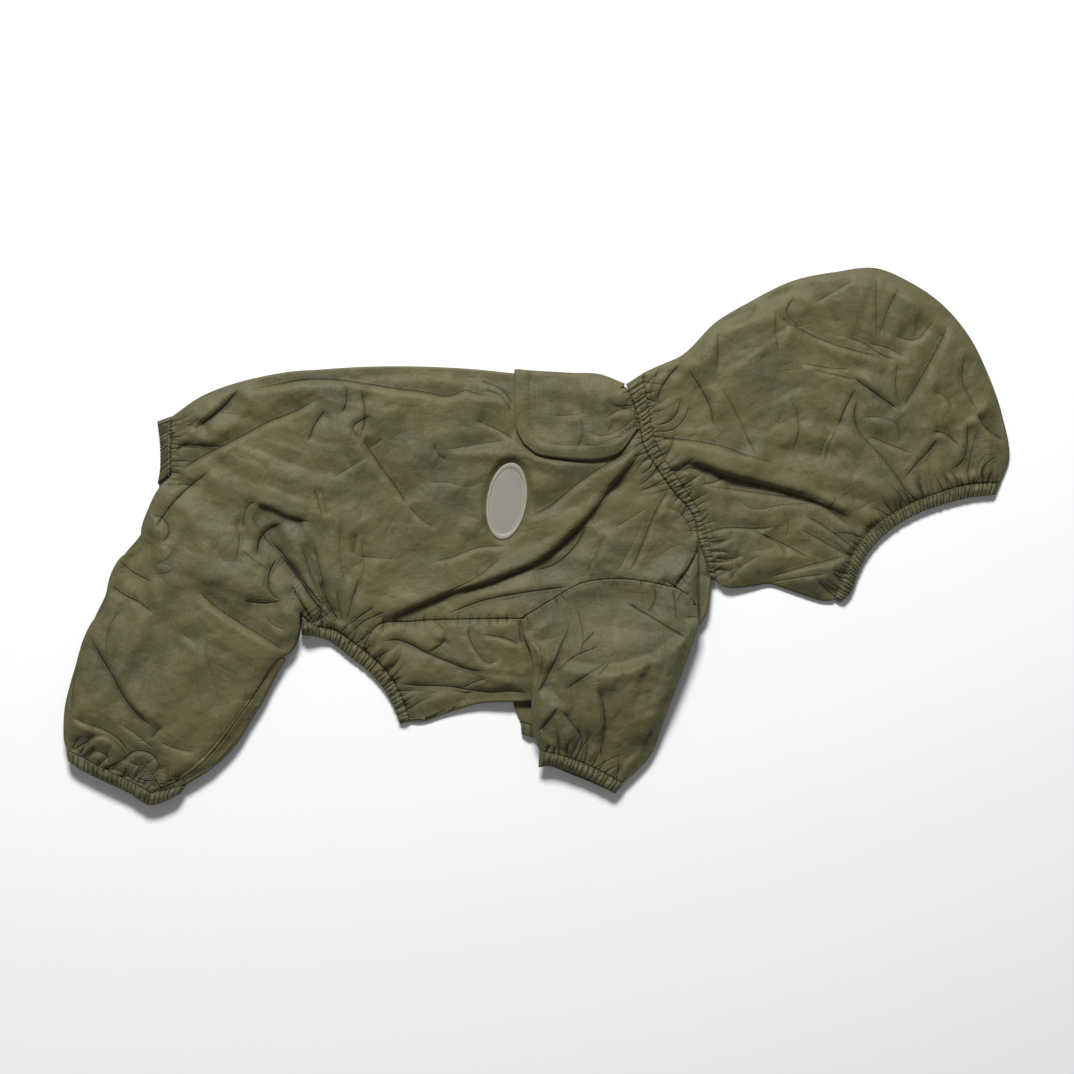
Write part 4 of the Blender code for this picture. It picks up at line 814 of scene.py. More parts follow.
def crumple(relief, box, share, seed, deep=1.0):
    """Flat-faced patches, soft rolls and fine sharp lines over a box of the plan."""
    dice = np.random.default_rng(seed)
    west, south, east, north = box

    def place():
        x, y = dice.uniform(west, east), dice.uniform(south, north)
        way = PULLED_TO[norm(PULLED_TO - (x, y), axis=1).argmin()] - (x, y)
        return x, y, math.atan2(way[1], way[0]) + dice.normal(0, 0.5)

    for _ in range(int(FANS * share)):
        relief.pleats(*place(), dice.uniform(13, 34), dice.uniform(18, 40),
                      deep * dice.uniform(0.35, 0.9))
    for _ in range(int(RIDGES * share)):
        x, y, angle = place()
        middle, half = np.array([x, y]), dice.uniform(14, 36)
        step = np.array([math.cos(angle), math.sin(angle)]) * half
        rise = deep * dice.uniform(0.5, 1.3) * dice.choice([-1.0, 1.0])
        relief.crease(rise, dice.uniform(5, 11), rise, dice.uniform(5, 11),
                      np.concatenate([middle - step, middle + step]), 0.35, 0.35, 0.0)
    for _ in range(int(ROLLS * share)):
        relief.roll(*place(), dice.uniform(8, 30), dice.uniform(4, 13), dice.uniform(1.0, 4.0),
                    deep * dice.uniform(0.3, 1.3) * dice.choice([-0.7, 1]))
    for _ in range(int(LINES * share)):
        x, y, angle = place()
        middle = np.array([x, y])
        step = np.array([math.cos(angle), math.sin(angle)]) * dice.uniform(2, 11)
        bow = np.array([-step[1], step[0]]) * dice.normal(0, 0.12)
        low = -deep * dice.uniform(0.12, 0.5)
        relief.crease(low, dice.uniform(0.6, 2.2), low * dice.uniform(-0.3, 1.0),
                      dice.uniform(0.6, 2.2),
                      np.concatenate([middle - step, middle + bow, middle + step]), 0.4, 0.4)


# %% [markdown]
# The upper side of the coat and the hood is one map, because their folds run on from one
# to the other.  First come the drawn creases, then the gathers of each seam, and last the
# crumple of the body and of the hood.

# %% The coat's upper side
CREASE_GAIN = 1.9     # the real cloth stands this much higher than the tables say
SLEEVE_GAIN = 2.4


def draw(relief, table, gain=CREASE_GAIN):
    """Adds a table of creases to a map."""
    for left, left_width, right, right_width, *points in table:
        relief.crease(gain * left, left_width, gain * right, right_width, points)


BACK, LEG_SIDE, CHEST_SIDE = (0.0, 20.0), (-200.0, -60.0), (-40.0, -90.0)
HOOD_BACK, HOOD_TOP = (180.0, 60.0), (160.0, 120.0)
BELLY_RUN = chain(seam(BELLY_SEAM, 4), seam(BELLY_FRONT, 4))
GATHERED = (   # seam, what its gathers point to, pitch, reach, depth
    (edge(TAIL_EDGE) + (7, 0), BACK, 2.6, 16, 0.5),
    (BELLY_RUN, BACK, 2.6, 15, 0.65),
    (seam(NECK_SEAM, 4), BACK, 2.8, 17, 0.5),
    (seam(HOOD_NECK, 4), HOOD_BACK, 2.6, 13, 0.6),
    (seam(FACE_SEAM, 4), HOOD_TOP, 2.6, 15, 0.7),
    (edge(LEG_HEM)[::-1] + (3, 8), LEG_SIDE, 2.8, 16, 0.7),
    (seam(ARMHOLE, 4), BACK, 5.0, 6, 0.3),
    (seam(CHEST_SEAM, 4), BACK, 4.0, 5, 0.3),
    (seam(CHEST_SEAM, 4), CHEST_SIDE, 4.0, 7, 0.4),
    (seam(THROAT_SEAM, 4), BACK, 4.0, 6, 0.35))
upper = Relief()
draw(upper, BODY_CREASES + HOOD_CREASES + (THROAT_PLEAT,))
for seed, (line, side, pitch, reach, depth) in enumerate(GATHERED, 1):
    gathers(upper, line, np.array([side]), pitch, reach, depth, seed)
crumple(upper, (-262, -145, 96, 92), 1.5, 11)
crumple(upper, (60, -35, 264, 148), 0.9, 12)
upper.finish()
print("relief of the upper side:", round(upper.height.min(), 1), "to",
      round(upper.height.max(), 1), "mm")

# %% [markdown]
# The sleeve and the flap lie on the coat and have maps of their own.  The side that lies
# on the table has the upper side's folds the other way round, since a fold goes through
# the cloth, and its own crumple.

# %% The sleeve, the flap and the side on the table
outer_sleeve = Relief()
draw(outer_sleeve, SLEEVE_CREASES, SLEEVE_GAIN)
gathers(outer_sleeve, seam(SLEEVE_END, 4), np.array([(30.0, -60.0)]), 3.0, 16, 0.9, 13)
gathers(outer_sleeve, chain(seam(ARMHOLE, 4), seam(ARMHOLE_FRONT, 4)),
        np.array([(40.0, -90.0)]), 4.5, 8, 0.35, 14)
crumple(outer_sleeve, (-5, -140, 92, -22), 0.4, 15)
outer_sleeve.finish()

outer_flap = Relief()
draw(outer_flap, FLAP_CREASES)
outer_flap.crease(-0.7, 0.5, -0.25, 0.5, TOPSTITCH, 0.0, 0.0)
gathers(outer_flap, seam(FLAP_NECK, 4), np.array([(0.0, 70.0)]), 2.6, 12, 0.5, 16)
crumple(outer_flap, (-12, 44, 56, 92), 0.12, 17, 0.6)
outer_flap.finish()

hidden = Relief()
draw(hidden, [(right, right_width, left, left_width, *points)
              for left, left_width, right, right_width, *points in BODY_CREASES + HOOD_CREASES])
crumple(hidden, (-262, -150, 264, 148), 2.0, 18)
hidden.finish()
print("relief of the sleeve:", round(outer_sleeve.height.min(), 1), "to",
      round(outer_sleeve.height.max(), 1), "mm")

# %% [markdown]
# ## Heights of the visible cloth
# These add the relief to the plain heights.  The relief is calmed where something lies
# on the cloth, and at the outline, where the two sides are folded or sewn together.

# %% Heights
def lower_base(points):
    """The coat's lower side: on the table, or on what is folded under it."""
    return (FLOOR + TUBE * near(points, LEFT_SLEEVE, SLEEVE_SKIRT)
            + PITCH * near(points, FLAP, SKIRT, MARGIN))


def calm(points):
    """1 where the cloth is free, 0 under what lies on it."""
    cover = np.maximum(near(points, RIGHT_SLEEVE, 5), near(points, FLAP, 4))
    return 1 - np.maximum(cover, near(points, BADGE, 4))


def coat_base(points):
    """The upper side without its creases."""
    return (lower_base(points) + PITCH + TUBE * near(points, LEGS, SKIRT, MARGIN)
            + ROOM * opened(points))


def coat_top(points):
    """The upper side with its creases; never closer than a layer to the lower side."""
    base = coat_base(points)
    raised = (PUFF * opened(points) + upper.at(upper.height, points) * opened(points, width=5.0))
    slack = ROOM * opened(points)
    return base + np.maximum(raised * calm(points), -CLOTH - slack)


def coat_under(points):
    """The lower side; its creases only rise from the table."""
    rise = np.clip(-0.7 * hidden.at(hidden.height, points), 0, 0.9)
    return lower_base(points) + rise * opened(points, width=8.0)


def level(height):
    """The height of cloth that lies flat, which is the same everywhere."""
    return lambda points: np.full(points.shape[:-1], height)


table_side, left_leg_side = level(FLOOR), level(FLOOR + PITCH)
right_leg_side = level(FLOOR + TUBE)


def sleeve_under(points):
    """The right sleeve's under side, over the chest and the other sleeve."""
    return (FLOOR + TUBE * near(points, LEFT_SLEEVE, SLEEVE_SKIRT)
            + (2 * PITCH + ROOM) * near(points, CHEST, SLEEVE_SKIRT, MARGIN))


ARMHOLE_LINE = chain(seam(ARMHOLE, 2), seam(ARMHOLE_FRONT, 2))
ARMHOLE_LINE = np.concatenate([ARMHOLE_LINE, ARMHOLE_LINE[::-1]])
SLOPE_WIDTH = 12.0      # from the armhole seam to where the sleeve has its own height


def sleeve_top(points):
    """The right sleeve's outer side: level with the coat at the armhole, then over the chest."""
    on_chest = near(points, RIGHT_SLEEVE, SLEEVE_SKIRT)
    wave = SLEEVE_PUFF + outer_sleeve.at(outer_sleeve.height, points)
    base = coat_base(points) * (1 - on_chest) + (sleeve_under(points) + PITCH) * on_chest
    loose = base + np.maximum(wave, 0.0) * opened(points, RIGHT_SLEEVE, 7.0)
    share = smooth(distance(points, ARMHOLE_LINE)[0] / SLOPE_WIDTH)
    joined = coat_top(points) * (1 - share) + loose * share
    return np.maximum(joined, sleeve_under(points) + CLOTH + SEAM)


def flap_top(points):
    """The flap's outer side, a layer over the coat, with its own creases."""
    wave = 0.5 + outer_flap.at(outer_flap.height, points)
    return coat_base(points) + PITCH + wave * opened(points, FLAP, 4.0)


print("top of the shoulder", round(float(coat_top(np.array([[20.0, 20.0]]))[0]), 1), "mm")

# %% [markdown]
# ## From a grid to a piece of cloth
# A grid of middle points becomes a closed shell: one face of the cloth, the other face,
# and the cut edge round them.  Blender's Solidify would do it too; made by hand, both
# faces keep the same numbers, so a UV map in metres of cloth and the depth of the creases
# go with them.  Before its heights are read, each mesh is drawn a little together at the
# creases, which makes them sharper without more faces.

# %% Shells
SINES = (1.0, 0.92, 0.7, 0.38, 0.0, -0.38, -0.7, -0.92, -1.0)   # round a folded edge


def lift(plan, height):
    """Plan points with their heights, as points in space."""
    return np.concatenate([plan, height[..., None]], axis=-1)


def turn(first, second, top, under, inset=FOLD):
    """Rows of a fold from the upper layer round to the lower one, at the line first."""
    inward = square_to(first, second)
    axis = first + inward * inset
    high, low = top(axis), under(axis)
    middle, radius = (high + low) / 2, (high - low) / 2
    rows = []
    for sine in SINES:
        out = math.sqrt(1 - sine * sine)
        rows.append(lift(axis - inward * (inset - CLOTH / 2) * out, middle + radius * sine))
    return np.array(rows)


def pull_back(grid, sides, gap=SEAM / 2):
    """Draw the named sides of a plan grid in by half a seam's gap."""
    grid = grid.copy()
    pairs = {"top": ((0, slice(None)), (1, slice(None))),
             "bottom": ((-1, slice(None)), (-2, slice(None))),
             "left": ((slice(None), 0), (slice(None), 1)),
             "right": ((slice(None), -1), (slice(None), -2))}
    for side in sides:
        rim, inner = pairs[side]
        grid[rim] = grid[rim] + square_to(grid[rim], grid[inner]) * gap
    return grid


def drawn(grid, relief, outline, keep=4.0):
    """The grid with its inner points moved towards the creases of a relief."""
    flat = np.nan_to_num(grid)
    share = smooth(distance(flat, outline[::3])[0] / keep)
    return grid + relief.at(relief.draw, flat) * share[..., None]


def shell(grid, closed=False, thick=CLOTH, rise=0.0):
    """Points, faces and which point of the grid each comes from; blank cells are left out."""
    rows, columns = grid.shape[:2]
    r, c = np.meshgrid(np.arange(rows - 1), np.arange(columns if closed else columns - 1),
                       indexing="ij")
    d = (c + 1) % columns
    cells = np.stack([r * columns + c, r * columns + d, (r + 1) * columns + d,
                      (r + 1) * columns + c], axis=-1).reshape(-1, 4)
    points = grid.reshape(-1, 3)
    cells = cells[~np.isnan(points[cells]).any(axis=(1, 2))]
    used, cells = np.unique(cells, return_inverse=True)
    cells = cells.reshape(-1, 4)
    points = points[used]
    square = np.cross(points[cells[:, 2]] - points[cells[:, 0]],
                      points[cells[:, 3]] - points[cells[:, 1]])
    normals = np.zeros_like(points)
    for k in range(4):
        np.add.at(normals, cells[:, k], square)
    normals /= np.maximum(norm(normals, axis=1, keepdims=True), TINY)
    raised = rise.reshape(-1)[used][:, None] if np.ndim(rise) else rise
    count = len(points)
    sides = np.concatenate([cells[:, [k, (k + 1) % 4]] for k in range(4)])
    code, back = sides[:, 0] * count + sides[:, 1], sides[:, 1] * count + sides[:, 0]
    rim = sides[~np.isin(code, back)]
    faces = np.concatenate([cells, cells[:, ::-1] + count,
                            np.stack([rim[:, 1], rim[:, 0], rim[:, 0] + count,
                                      rim[:, 1] + count], axis=1)])
    outer, inner = points + normals * (thick / 2 + raised), points - normals * thick / 2
    return np.concatenate([outer, inner]), faces, np.concatenate([used, used])


def cloth_lengths(grid):
    """A UV map in metres: how far each point of the grid lies along the cloth."""
    across = np.nan_to_num(norm(np.diff(grid, axis=1), axis=2))
    down = np.nan_to_num(norm(np.diff(grid, axis=0), axis=2))
    u = np.concatenate([np.zeros((grid.shape[0], 1)), np.cumsum(across, axis=1)], axis=1)
    v = np.concatenate([np.zeros((1, grid.shape[1])), np.cumsum(down, axis=0)], axis=0)
    return np.stack([u, v], axis=-1) * MM


def piece(name, points, faces, attributes=None, uv=None):
    """One named object at the origin, its place in its mesh, with its UV map and attributes."""
    mesh = bpy.data.meshes.new(name)
    mesh.from_pydata((points * MM).tolist(), [], [list(face) for face in faces])
    if uv is not None:
        corners = np.empty(len(mesh.loops), int)
        mesh.loops.foreach_get("vertex_index", corners)
        mesh.uv_layers.new(name="cloth").data.foreach_set(
            "uv", uv[corners].astype(np.float32).ravel())
    for key, values in (attributes or {}).items():
        mesh.attributes.new(key, "FLOAT", "POINT").data.foreach_set(
            "value", np.asarray(values, np.float32).ravel())
    mesh.shade_smooth()
    made = bpy.data.objects.new(name, mesh)
    bpy.context.collection.objects.link(made)
    print(name, len(mesh.polygons), "faces")
    return made


def cloth_piece(name, grid, relief=None, closed=False, thick=CLOTH, rise=0.0, extra=None):
    """A shell on a grid, which also knows how deep in the creases each point lies, for its bump and
    painted shade.
    """
    points, faces, origin = shell(grid, closed, thick, rise)
    flat = np.nan_to_num(grid.reshape(-1, 3))
    attributes = {"outer": np.arange(len(points)) < len(points) // 2}
    if relief:
        attributes["depth"] = relief.at(relief.depth, flat[:, :2])[origin]
        for k in range(LINE_SETS):
            attributes[f"gap_{k}"] = relief.at(relief.gaps[k], flat[:, :2])[origin]
            attributes[f"line_{k}"] = relief.at(relief.deeps[k], flat[:, :2])[origin]
    for key, values in (extra or {}).items():
        attributes[key] = values.reshape(-1)[origin]
    return piece(name, points, faces, attributes, cloth_lengths(grid).reshape(-1, 2)[origin])


# %% [markdown]
# ## The panels
# The back panel is one piece of cloth: both sides of the body and both outer trouser
# legs, folded along the back.  Its upper side gets a fine mesh, its lower side a coarse
# one with the same columns.

# %% Back panel
FINE = 7            # fine cells to each coarse cell of the upper side
LEG_ROWS = 91
FIRST_ROW = 3       # the first row of the mesh inside the fold
LOWER_STEP = 4      # the lower side has every fourth row


def body_plan():
    """Plan of one side of the back panel, and of the hind leg that hangs from it."""
    bottom = chain(seam(LEG_LINE, FINE), seam(BELLY_SEAM, FINE), seam(CHEST_SEAM, FINE),
                   seam(ARMHOLE, FINE))
    left = chain(seam(TAIL_SEAM, FINE), seam(REAR, FINE))
    right = chain(seam(NECK_SEAM, FINE), seam(THROAT_SEAM, FINE))
    body = patch(seam(BACK_FOLD, FINE), bottom, left, right)
    columns = len(seam(LEG_LINE, FINE))
    share = norm(body[-1, :columns] - body[-1, 0], axis=1)
    share = (share / share[-1])[None, :, None]
    rear, front = edge(leg_points(0), LEG_ROWS)[:, None], edge(leg_points(2), LEG_ROWS)[:, None]
    leg = rear + (front - rear) * share
    hem = body[-1, :columns].copy()
    body = pull_back(body, ("left", "right", "bottom"))
    leg = pull_back(leg, ("left", "right", "bottom"))
    body[-1, :columns - 1] = hem[:-1]
    leg[0] = body[-1, :columns]
    return body, leg


def rows_of(first, *lasts):
    """Every fourth row from the first one, and the rows that must be there."""
    rows = set(lasts) | set(range(first, lasts[-1], LOWER_STEP))
    rows -= {last - k for last in lasts for k in (1, 2)} - set(lasts)
    return sorted(rows)


def back_grid():
    """The whole back panel: upper side, fold and lower side."""
    body, leg = body_plan()
    fold = turn(body[0], body[4], coat_top, coat_under)
    blank = np.full((len(leg) - 1, body.shape[1], 2), np.nan)
    blank[:, :leg.shape[1]] = leg[1:]
    whole = np.concatenate([body, blank])
    outline = np.concatenate([body[0], body[:, -1], body[-1, :leg.shape[1]:-1], leg[:, -1],
                              leg[-1, ::-1], leg[::-1, 0], body[::-1, 0]])
    upper_rows = drawn(whole[FIRST_ROW:], upper, outline)
    lower_rows = whole[rows_of(FIRST_ROW, len(body) - 1, len(whole) - 1)]
    top = lift(upper_rows, coat_top(np.nan_to_num(upper_rows)))
    bottom = lift(lower_rows, coat_under(np.nan_to_num(lower_rows)))
    return np.concatenate([top[::-1], fold, bottom])


back_panel = cloth_piece("back_panel_cloth", back_grid(), upper)

# %% [markdown]
# The chest panel is folded along the belly.  Its long top edge meets the back panel, both
# armholes and the throat, so its grid starts from those seams.

# %% Chest panel
CHEST_FINE, CHEST_ROWS = 6, 56
CHEST_FADE = 2.4    # how quickly the bend of the belly side fades into the grid


def chest_grid():
    """The whole chest panel: upper side, fold and lower side."""
    fine = CHEST_FINE
    top = chain(seam(CHEST_SEAM, fine), seam(ARMHOLE_BELOW, fine),
                seam(ARMHOLE_FRONT, fine)[::-1], seam(THROAT_SEAM, fine)[::-1])
    outline = seam(CHEST_FOLD, fine)
    left, right = spread(seam(BELLY_FRONT, 8), CHEST_ROWS), spread(seam(NECK_FRONT, 8), CHEST_ROWS)
    axis = outline + square_to(outline, top) * FOLD
    left[-1], right[-1] = axis[0], axis[-1]
    plain = spread(right[[0, -1]], CHEST_ROWS)
    flat = patch(top, axis, left, plain, CHEST_FADE)
    near_neck = np.clip(np.linspace(0, 1, len(top)) * 30 - 29, 0, 1)[None, :, None]
    flat += (right - plain)[:, None] * near_neck
    flat = pull_back(flat, ("top", "left", "right"))
    fold = turn(outline, axis, coat_top, coat_under)
    rows = drawn(flat[:-1], upper, rim_of(flat))
    below = flat[:-1][::-1][::3]
    if len(flat[:-1]) % 3 != 1:
        below = np.concatenate([below, flat[:1]])
    return np.concatenate([lift(rows, coat_top(rows)), fold, lift(below, coat_under(below))])


chest_panel = cloth_piece("chest_panel_cloth", chest_grid(), upper)

# %% [markdown]
# Each trouser leg has an inner panel too.  It lies between the two sides of the coat, and
# what shows of it is the strip that turns round the front of the leg up to the inseam.

# %% Inner legs
# painted shade: the inner panel's colour is darkened as if it lay in the upper layer's shade
PAINTED_SHADE_DEPTH = -0.5       # what shows of a leg's inner panel is in the upper layer's shade


def inner_leg_grid(main_side, flange_side, fine=7, across=14, flange=9):
    """A leg's inner panel: it lies flat, turns round at the front and ends at the inseam."""
    count = (len(INNER_LEG) - 1) * fine + 1
    rear = edge(leg_points(0, INNER_LEG), count)[:, None]
    joint = edge(leg_points(2, INNER_LEG), count)[:, None]
    main = rear + (joint - rear) * np.linspace(0.002, 1, across)[None, :, None]
    turned_from = (len(CROTCH) + 1) * fine
    main[:turned_from, -1] -= (joint - rear)[:turned_from, 0] * 0.004
    main = lift(main, main_side(main))
    front, inside = edge(leg_points(4), count - turned_from), joint[turned_from:, 0]
    fold = turn(front, inside, flange_side, main_side)[::-1].transpose(1, 0, 2)
    step = unit(front - inside)
    start = front - step * (FOLD + SEAM)
    shares = np.linspace(0, 1, flange)[None, :, None]
    strip = start[:, None] * (1 - shares) + (inside + step * SEAM)[:, None] * shares
    turned = np.concatenate([fold, lift(strip, flange_side(strip))], axis=1)
    blank = np.full((turned_from, turned.shape[1], 3), np.nan)
    return np.concatenate([main, np.concatenate([blank, turned])], axis=1)


def painted_shade(grid):
    """The whole piece gets painted shade, as if it lay low in a crease."""
    return {"depth": np.full(grid.shape[:2], PAINTED_SHADE_DEPTH)}


right_plan = inner_leg_grid(right_leg_side, coat_top)
left_plan = inner_leg_grid(left_leg_side, table_side)
# both inner leg panels get the painted shade
leg_right = cloth_piece("hind_leg_inner_right_cloth", right_plan, upper, extra=painted_shade(right_plan))
leg_left = cloth_piece("hind_leg_inner_left_cloth", left_plan, extra=painted_shade(left_plan))

# %% [markdown]
# The hood is two flat pieces sewn together along the crown and the chin.  There the two
# edges curl towards each other and meet in the seam.

# %% Hood
HOOD_COLUMNS, HOOD_ROWS = 7, 8
CURL = 0.45         # how far each edge curls towards the other


def hood_plan(columns, rows):
    """Plan of one side of the hood; its long edges stop short of the seams."""
    flat = patch(seam(CROWN, columns), seam(CHIN, columns), seam(HOOD_NECK, rows),
                 seam(FACE_SEAM, rows))
    return pull_back(flat, ("left", "right"))


def seam_curl(plan):
    """1 at the crown and the chin, falling to 0 in two millimetres."""
    face, neck = edge(FACE_SEAM, 30), edge(HOOD_NECK, 30)
    gap = distance(plan, np.concatenate([seam(CROWN, 2), face, seam(CHIN, 2)[::-1], neck[::-1]]))[0]
    openings = np.minimum(distance(plan, face)[0], distance(plan, neck)[0])
    return (1 - smooth(gap / 2.0)) * smooth(openings / 3.0)


def hood_top(points):
    return coat_top(points) - CURL * seam_curl(points)


def hood_under(points):
    return coat_under(points) + CURL * seam_curl(points)


flat = hood_plan(HOOD_COLUMNS, HOOD_ROWS)
flat = drawn(flat, upper, rim_of(flat))
hood_right = cloth_piece("hood_right_cloth", lift(flat, hood_top(flat)), upper)
flat = hood_plan(3, 4)
hood_left = cloth_piece("hood_left_cloth", lift(flat, hood_under(flat)), hidden)

# %% [markdown]
# A sleeve lies pressed flat: an outer and an under side, joined by a fold along both
# edges.  The right one lies on the chest, and the left one under it, on the table.

# %% Sleeves
def sleeve_grid(armhole, back, front, end, top, under, rows, relief=None):
    """A tube pressed flat; columns run round it and rows run down it."""
    count = len(armhole)
    left, right = spread(seam(back, 6), rows), spread(seam(front, 6), rows)
    outside = patch(armhole, spread(seam(end, 6), count), left, right)
    inside = patch(spread(seam(ARMHOLE_BELOW, 6), count), outside[-1], left, right)
    outside, inside = (pull_back(flat, ("top", "bottom")) for flat in (outside, inside))
    left = turn(outside[:, 0], outside[:, 4], top, under).transpose(1, 0, 2)
    right = turn(outside[:, -1], outside[:, -5], top, under).transpose(1, 0, 2)
    keep = slice(3, -3)
    if relief:
        outside = drawn(outside, relief, rim_of(outside))
    outer = lift(outside, top(outside))[:, keep]
    inner = lift(inside, under(inside))[:, keep][:, ::-3]
    return np.concatenate([outer, right, inner, left[:, ::-1]], axis=1)


armhole = spread(chain(seam(ARMHOLE, 6), seam(ARMHOLE_FRONT, 6)), 92)
sleeve_right = cloth_piece(
    "sleeve_right_cloth",
    sleeve_grid(armhole, SLEEVE_BACK, SLEEVE_FRONT, SLEEVE_END, sleeve_top, sleeve_under, 88,
                outer_sleeve), outer_sleeve, closed=True)
sleeve_left = cloth_piece(
    "sleeve_left_cloth",
    sleeve_grid(spread(armhole, 40), LEFT_SLEEVE_BACK, LEFT_SLEEVE_FRONT, LEFT_SLEEVE_END,
                table_side, left_leg_side, 40), closed=True)

# %% [markdown]
# The flap covers the slit for the leash.  It is folded over the back, so that it shows on
# both sides, and its free edge has a doubled hem a centimetre wide.

# %% Flap
FLAP_FINE = 6


def hem_step(gap):
    """How far the doubled hem stands above the flap, by the distance to the free edge."""
    edge_roll = 0.16 * np.exp(-((gap - 1.2) / 0.9)**2)
    groove = -0.28 * np.exp(-((gap - HEM + 1.6) / 0.55)**2)
    return HEM_RISE * smooth((HEM - gap) / 0.9 + 0.5) + edge_roll + groove


def flap_grid():
    """The flap from its hem over the fold to its under side, and how far the hem rises."""
    left, right = seam(FLAP_REAR, FLAP_FINE), seam(FLAP_NECK, FLAP_FINE)
    plan = patch(seam(FLAP_FOLD, FLAP_FINE), seam(FLAP_HEM, FLAP_FINE), left, right)
    radius = (flap_top(plan[:1]) - table_side(plan[:1])).max() / 2
    start = int(math.ceil((radius + 1.2) / (length(left) / (len(left) - 1))))
    fold = turn(plan[0], plan[start], flap_top, table_side, radius + CLOTH / 2)
    rows = drawn(plan[start:], outer_flap, rim_of(plan))
    under = plan[start::3]
    whole = np.concatenate([lift(rows, flap_top(rows))[::-1], fold,
                            lift(under, table_side(under))])
    free = chain(seam(FLAP_REAR, 2), seam(FLAP_HEM, 2)[:-2])
    gap = np.full(whole.shape[:2], 1e9)
    for k in range(len(free) - 1):
        run = free[k + 1] - free[k]
        away = whole[..., :2] - free[k]
        t = np.clip((away @ run) / (run @ run), 0, 1)
        gap = np.minimum(gap, norm(away - t[..., None] * run, axis=-1))
    on_top = whole[..., 2] > 0.5 * (flap_top(plan[:1]).max() + FLOOR)
    return whole, np.where(on_top, hem_step(gap), 0.0)


whole, rise = flap_grid()
leash_flap = cloth_piece("leash_flap_cloth", whole, outer_flap, rise=rise)
print("hem stands", round(float(rise.max()), 2), "mm above the flap")

# %% [markdown]
# ## Finishes
# The olive taffeta is cross-dyed: warp and weft have slightly different colours, so it
# turns from a yellow olive to a cool grey green from fold to fold.  All of it is made with
# procedural textures, in the cloth's own coordinates where it follows the weave.
# The creases, and the valleys of the gathers, are darkened with painted shade.

# %% Node helpers
class Wire:
    """A node's output that can be used like a number."""

    def __init__(self, graph, socket):
        self.graph, self.socket = graph, socket

    def maths(self, operation, first, second=0.0):
        return self.graph.node("ShaderNodeMath", {"operation": operation}, {0: first, 1: second})

    def __add__(self, other):
        return self.maths("ADD", self, other)

    def __radd__(self, other):
        return self.maths("ADD", other, self)

    def __sub__(self, other):
        return self.maths("SUBTRACT", self, other)

    def __rsub__(self, other):
        return self.maths("SUBTRACT", other, self)

    def __mul__(self, other):
        return self.maths("MULTIPLY", self, other)

    def __rmul__(self, other):
        return self.maths("MULTIPLY", other, self)

    def __abs__(self):
        return self.maths("ABSOLUTE", self)


class Graph:
    """A node tree; node makes any node and joins what is given to its sockets."""

    def node(self, kind, settings=None, values=None, output=0):
        made = self.tree.nodes.new(kind)
        for key, value in (settings or {}).items():
            setattr(made, key, value)
        for socket, value in (values or {}).items():
            self.join(value, made.inputs[socket])
        return Wire(self, made.outputs[output])

    def join(self, value, socket):
        if isinstance(value, Wire):
            self.tree.links.new(value.socket, socket)
        else:
            socket.default_value = value


class Finish(Graph):
    """One material."""

    def __init__(self, name, roughness, **constants):
        self.material = bpy.data.materials.new(name)
        self.material.use_nodes = True
        self.tree = self.material.node_tree
        self.shader = self.tree.nodes["Principled BSDF"].inputs
        self.shader["Roughness"].default_value = roughness
        for socket, value in constants.items():
            self.shader[socket.replace("_", " ")].default_value = value

    def place(self):
        """Where a point is, in metres."""
        return self.node("ShaderNodeTexCoord", output="Object")

    def cloth(self):
        """Where a point is along the warp and the weft, in metres of cloth."""
        return self.node("ShaderNodeUVMap", {"uv_map": "cloth"})

    def attribute(self, name):
        """A number that the mesh has for each of its points."""
        return self.node("ShaderNodeAttribute", {"attribute_name": name}, output="Fac")

    def stretched(self, vector, *scales):
        """Noise that is long one way and short the other, like threads."""
        return self.noise(self.node("ShaderNodeMapping", None,
                                    {"Vector": vector, "Scale": (*scales, 1.0)}), 1.0)

    def noise(self, vector, scale, detail=2.0, **values):
        return self.node("ShaderNodeTexNoise", None,
                         {"Vector": vector, "Scale": scale, "Detail": detail, **values})

    def cells(self, vector, scale):
        """Distance to the nearest edge of a cell: flat faces with sharp folds between."""
        return self.node("ShaderNodeTexVoronoi", {"feature": "DISTANCE_TO_EDGE"},
                         {"Vector": vector, "Scale": scale})

    def ramp(self, value, low, high):
        """0 below low, 1 above high and smooth between them."""
        return self.node("ShaderNodeMapRange", {"interpolation_type": "SMOOTHSTEP"},
                         {"Value": value, "From Min": low, "From Max": high})

    def mix(self, factor, first, second):
        """From the first colour to the second."""
        return self.node("ShaderNodeMix", {"data_type": "RGBA"},
                         {0: factor, 6: first, 7: second}, output=2)

    def relief(self, height):
        """A bump; the height is in millimetres."""
        self.join(self.node("ShaderNodeBump", None, {"Height": height, "Distance": MM}),
                  self.shader["Normal"])

    def between(self, factor, first, second):
        """The base colour runs from the first colour to the second."""
        self.join(self.mix(factor, first, second), self.shader["Base Color"])


def colour(red, green, blue):
    return (red, green, blue, 1.0)


# %% Taffeta
THREAD_PITCH = 0.0004     # metres of cloth from thread to thread
LINE_WIDTH = 0.8          # half the width of a crease's sharp line, mm
# painted shade: how much the colour is darkened in a crease's sharp line
LINE_PAINTED_SHADE = 0.44         # how much darker the cloth is in such a line
LINE_DEPTH = 0.6          # and how deep, mm


def line_of_set(made, k):
    """The sharp lines of one set: 1 in the line, 0 beside it."""
    gap, deep = made.attribute(f"gap_{k}"), made.attribute(f"line_{k}")
    return deep * (1 - made.ramp(abs(gap), 0.0, LINE_WIDTH))


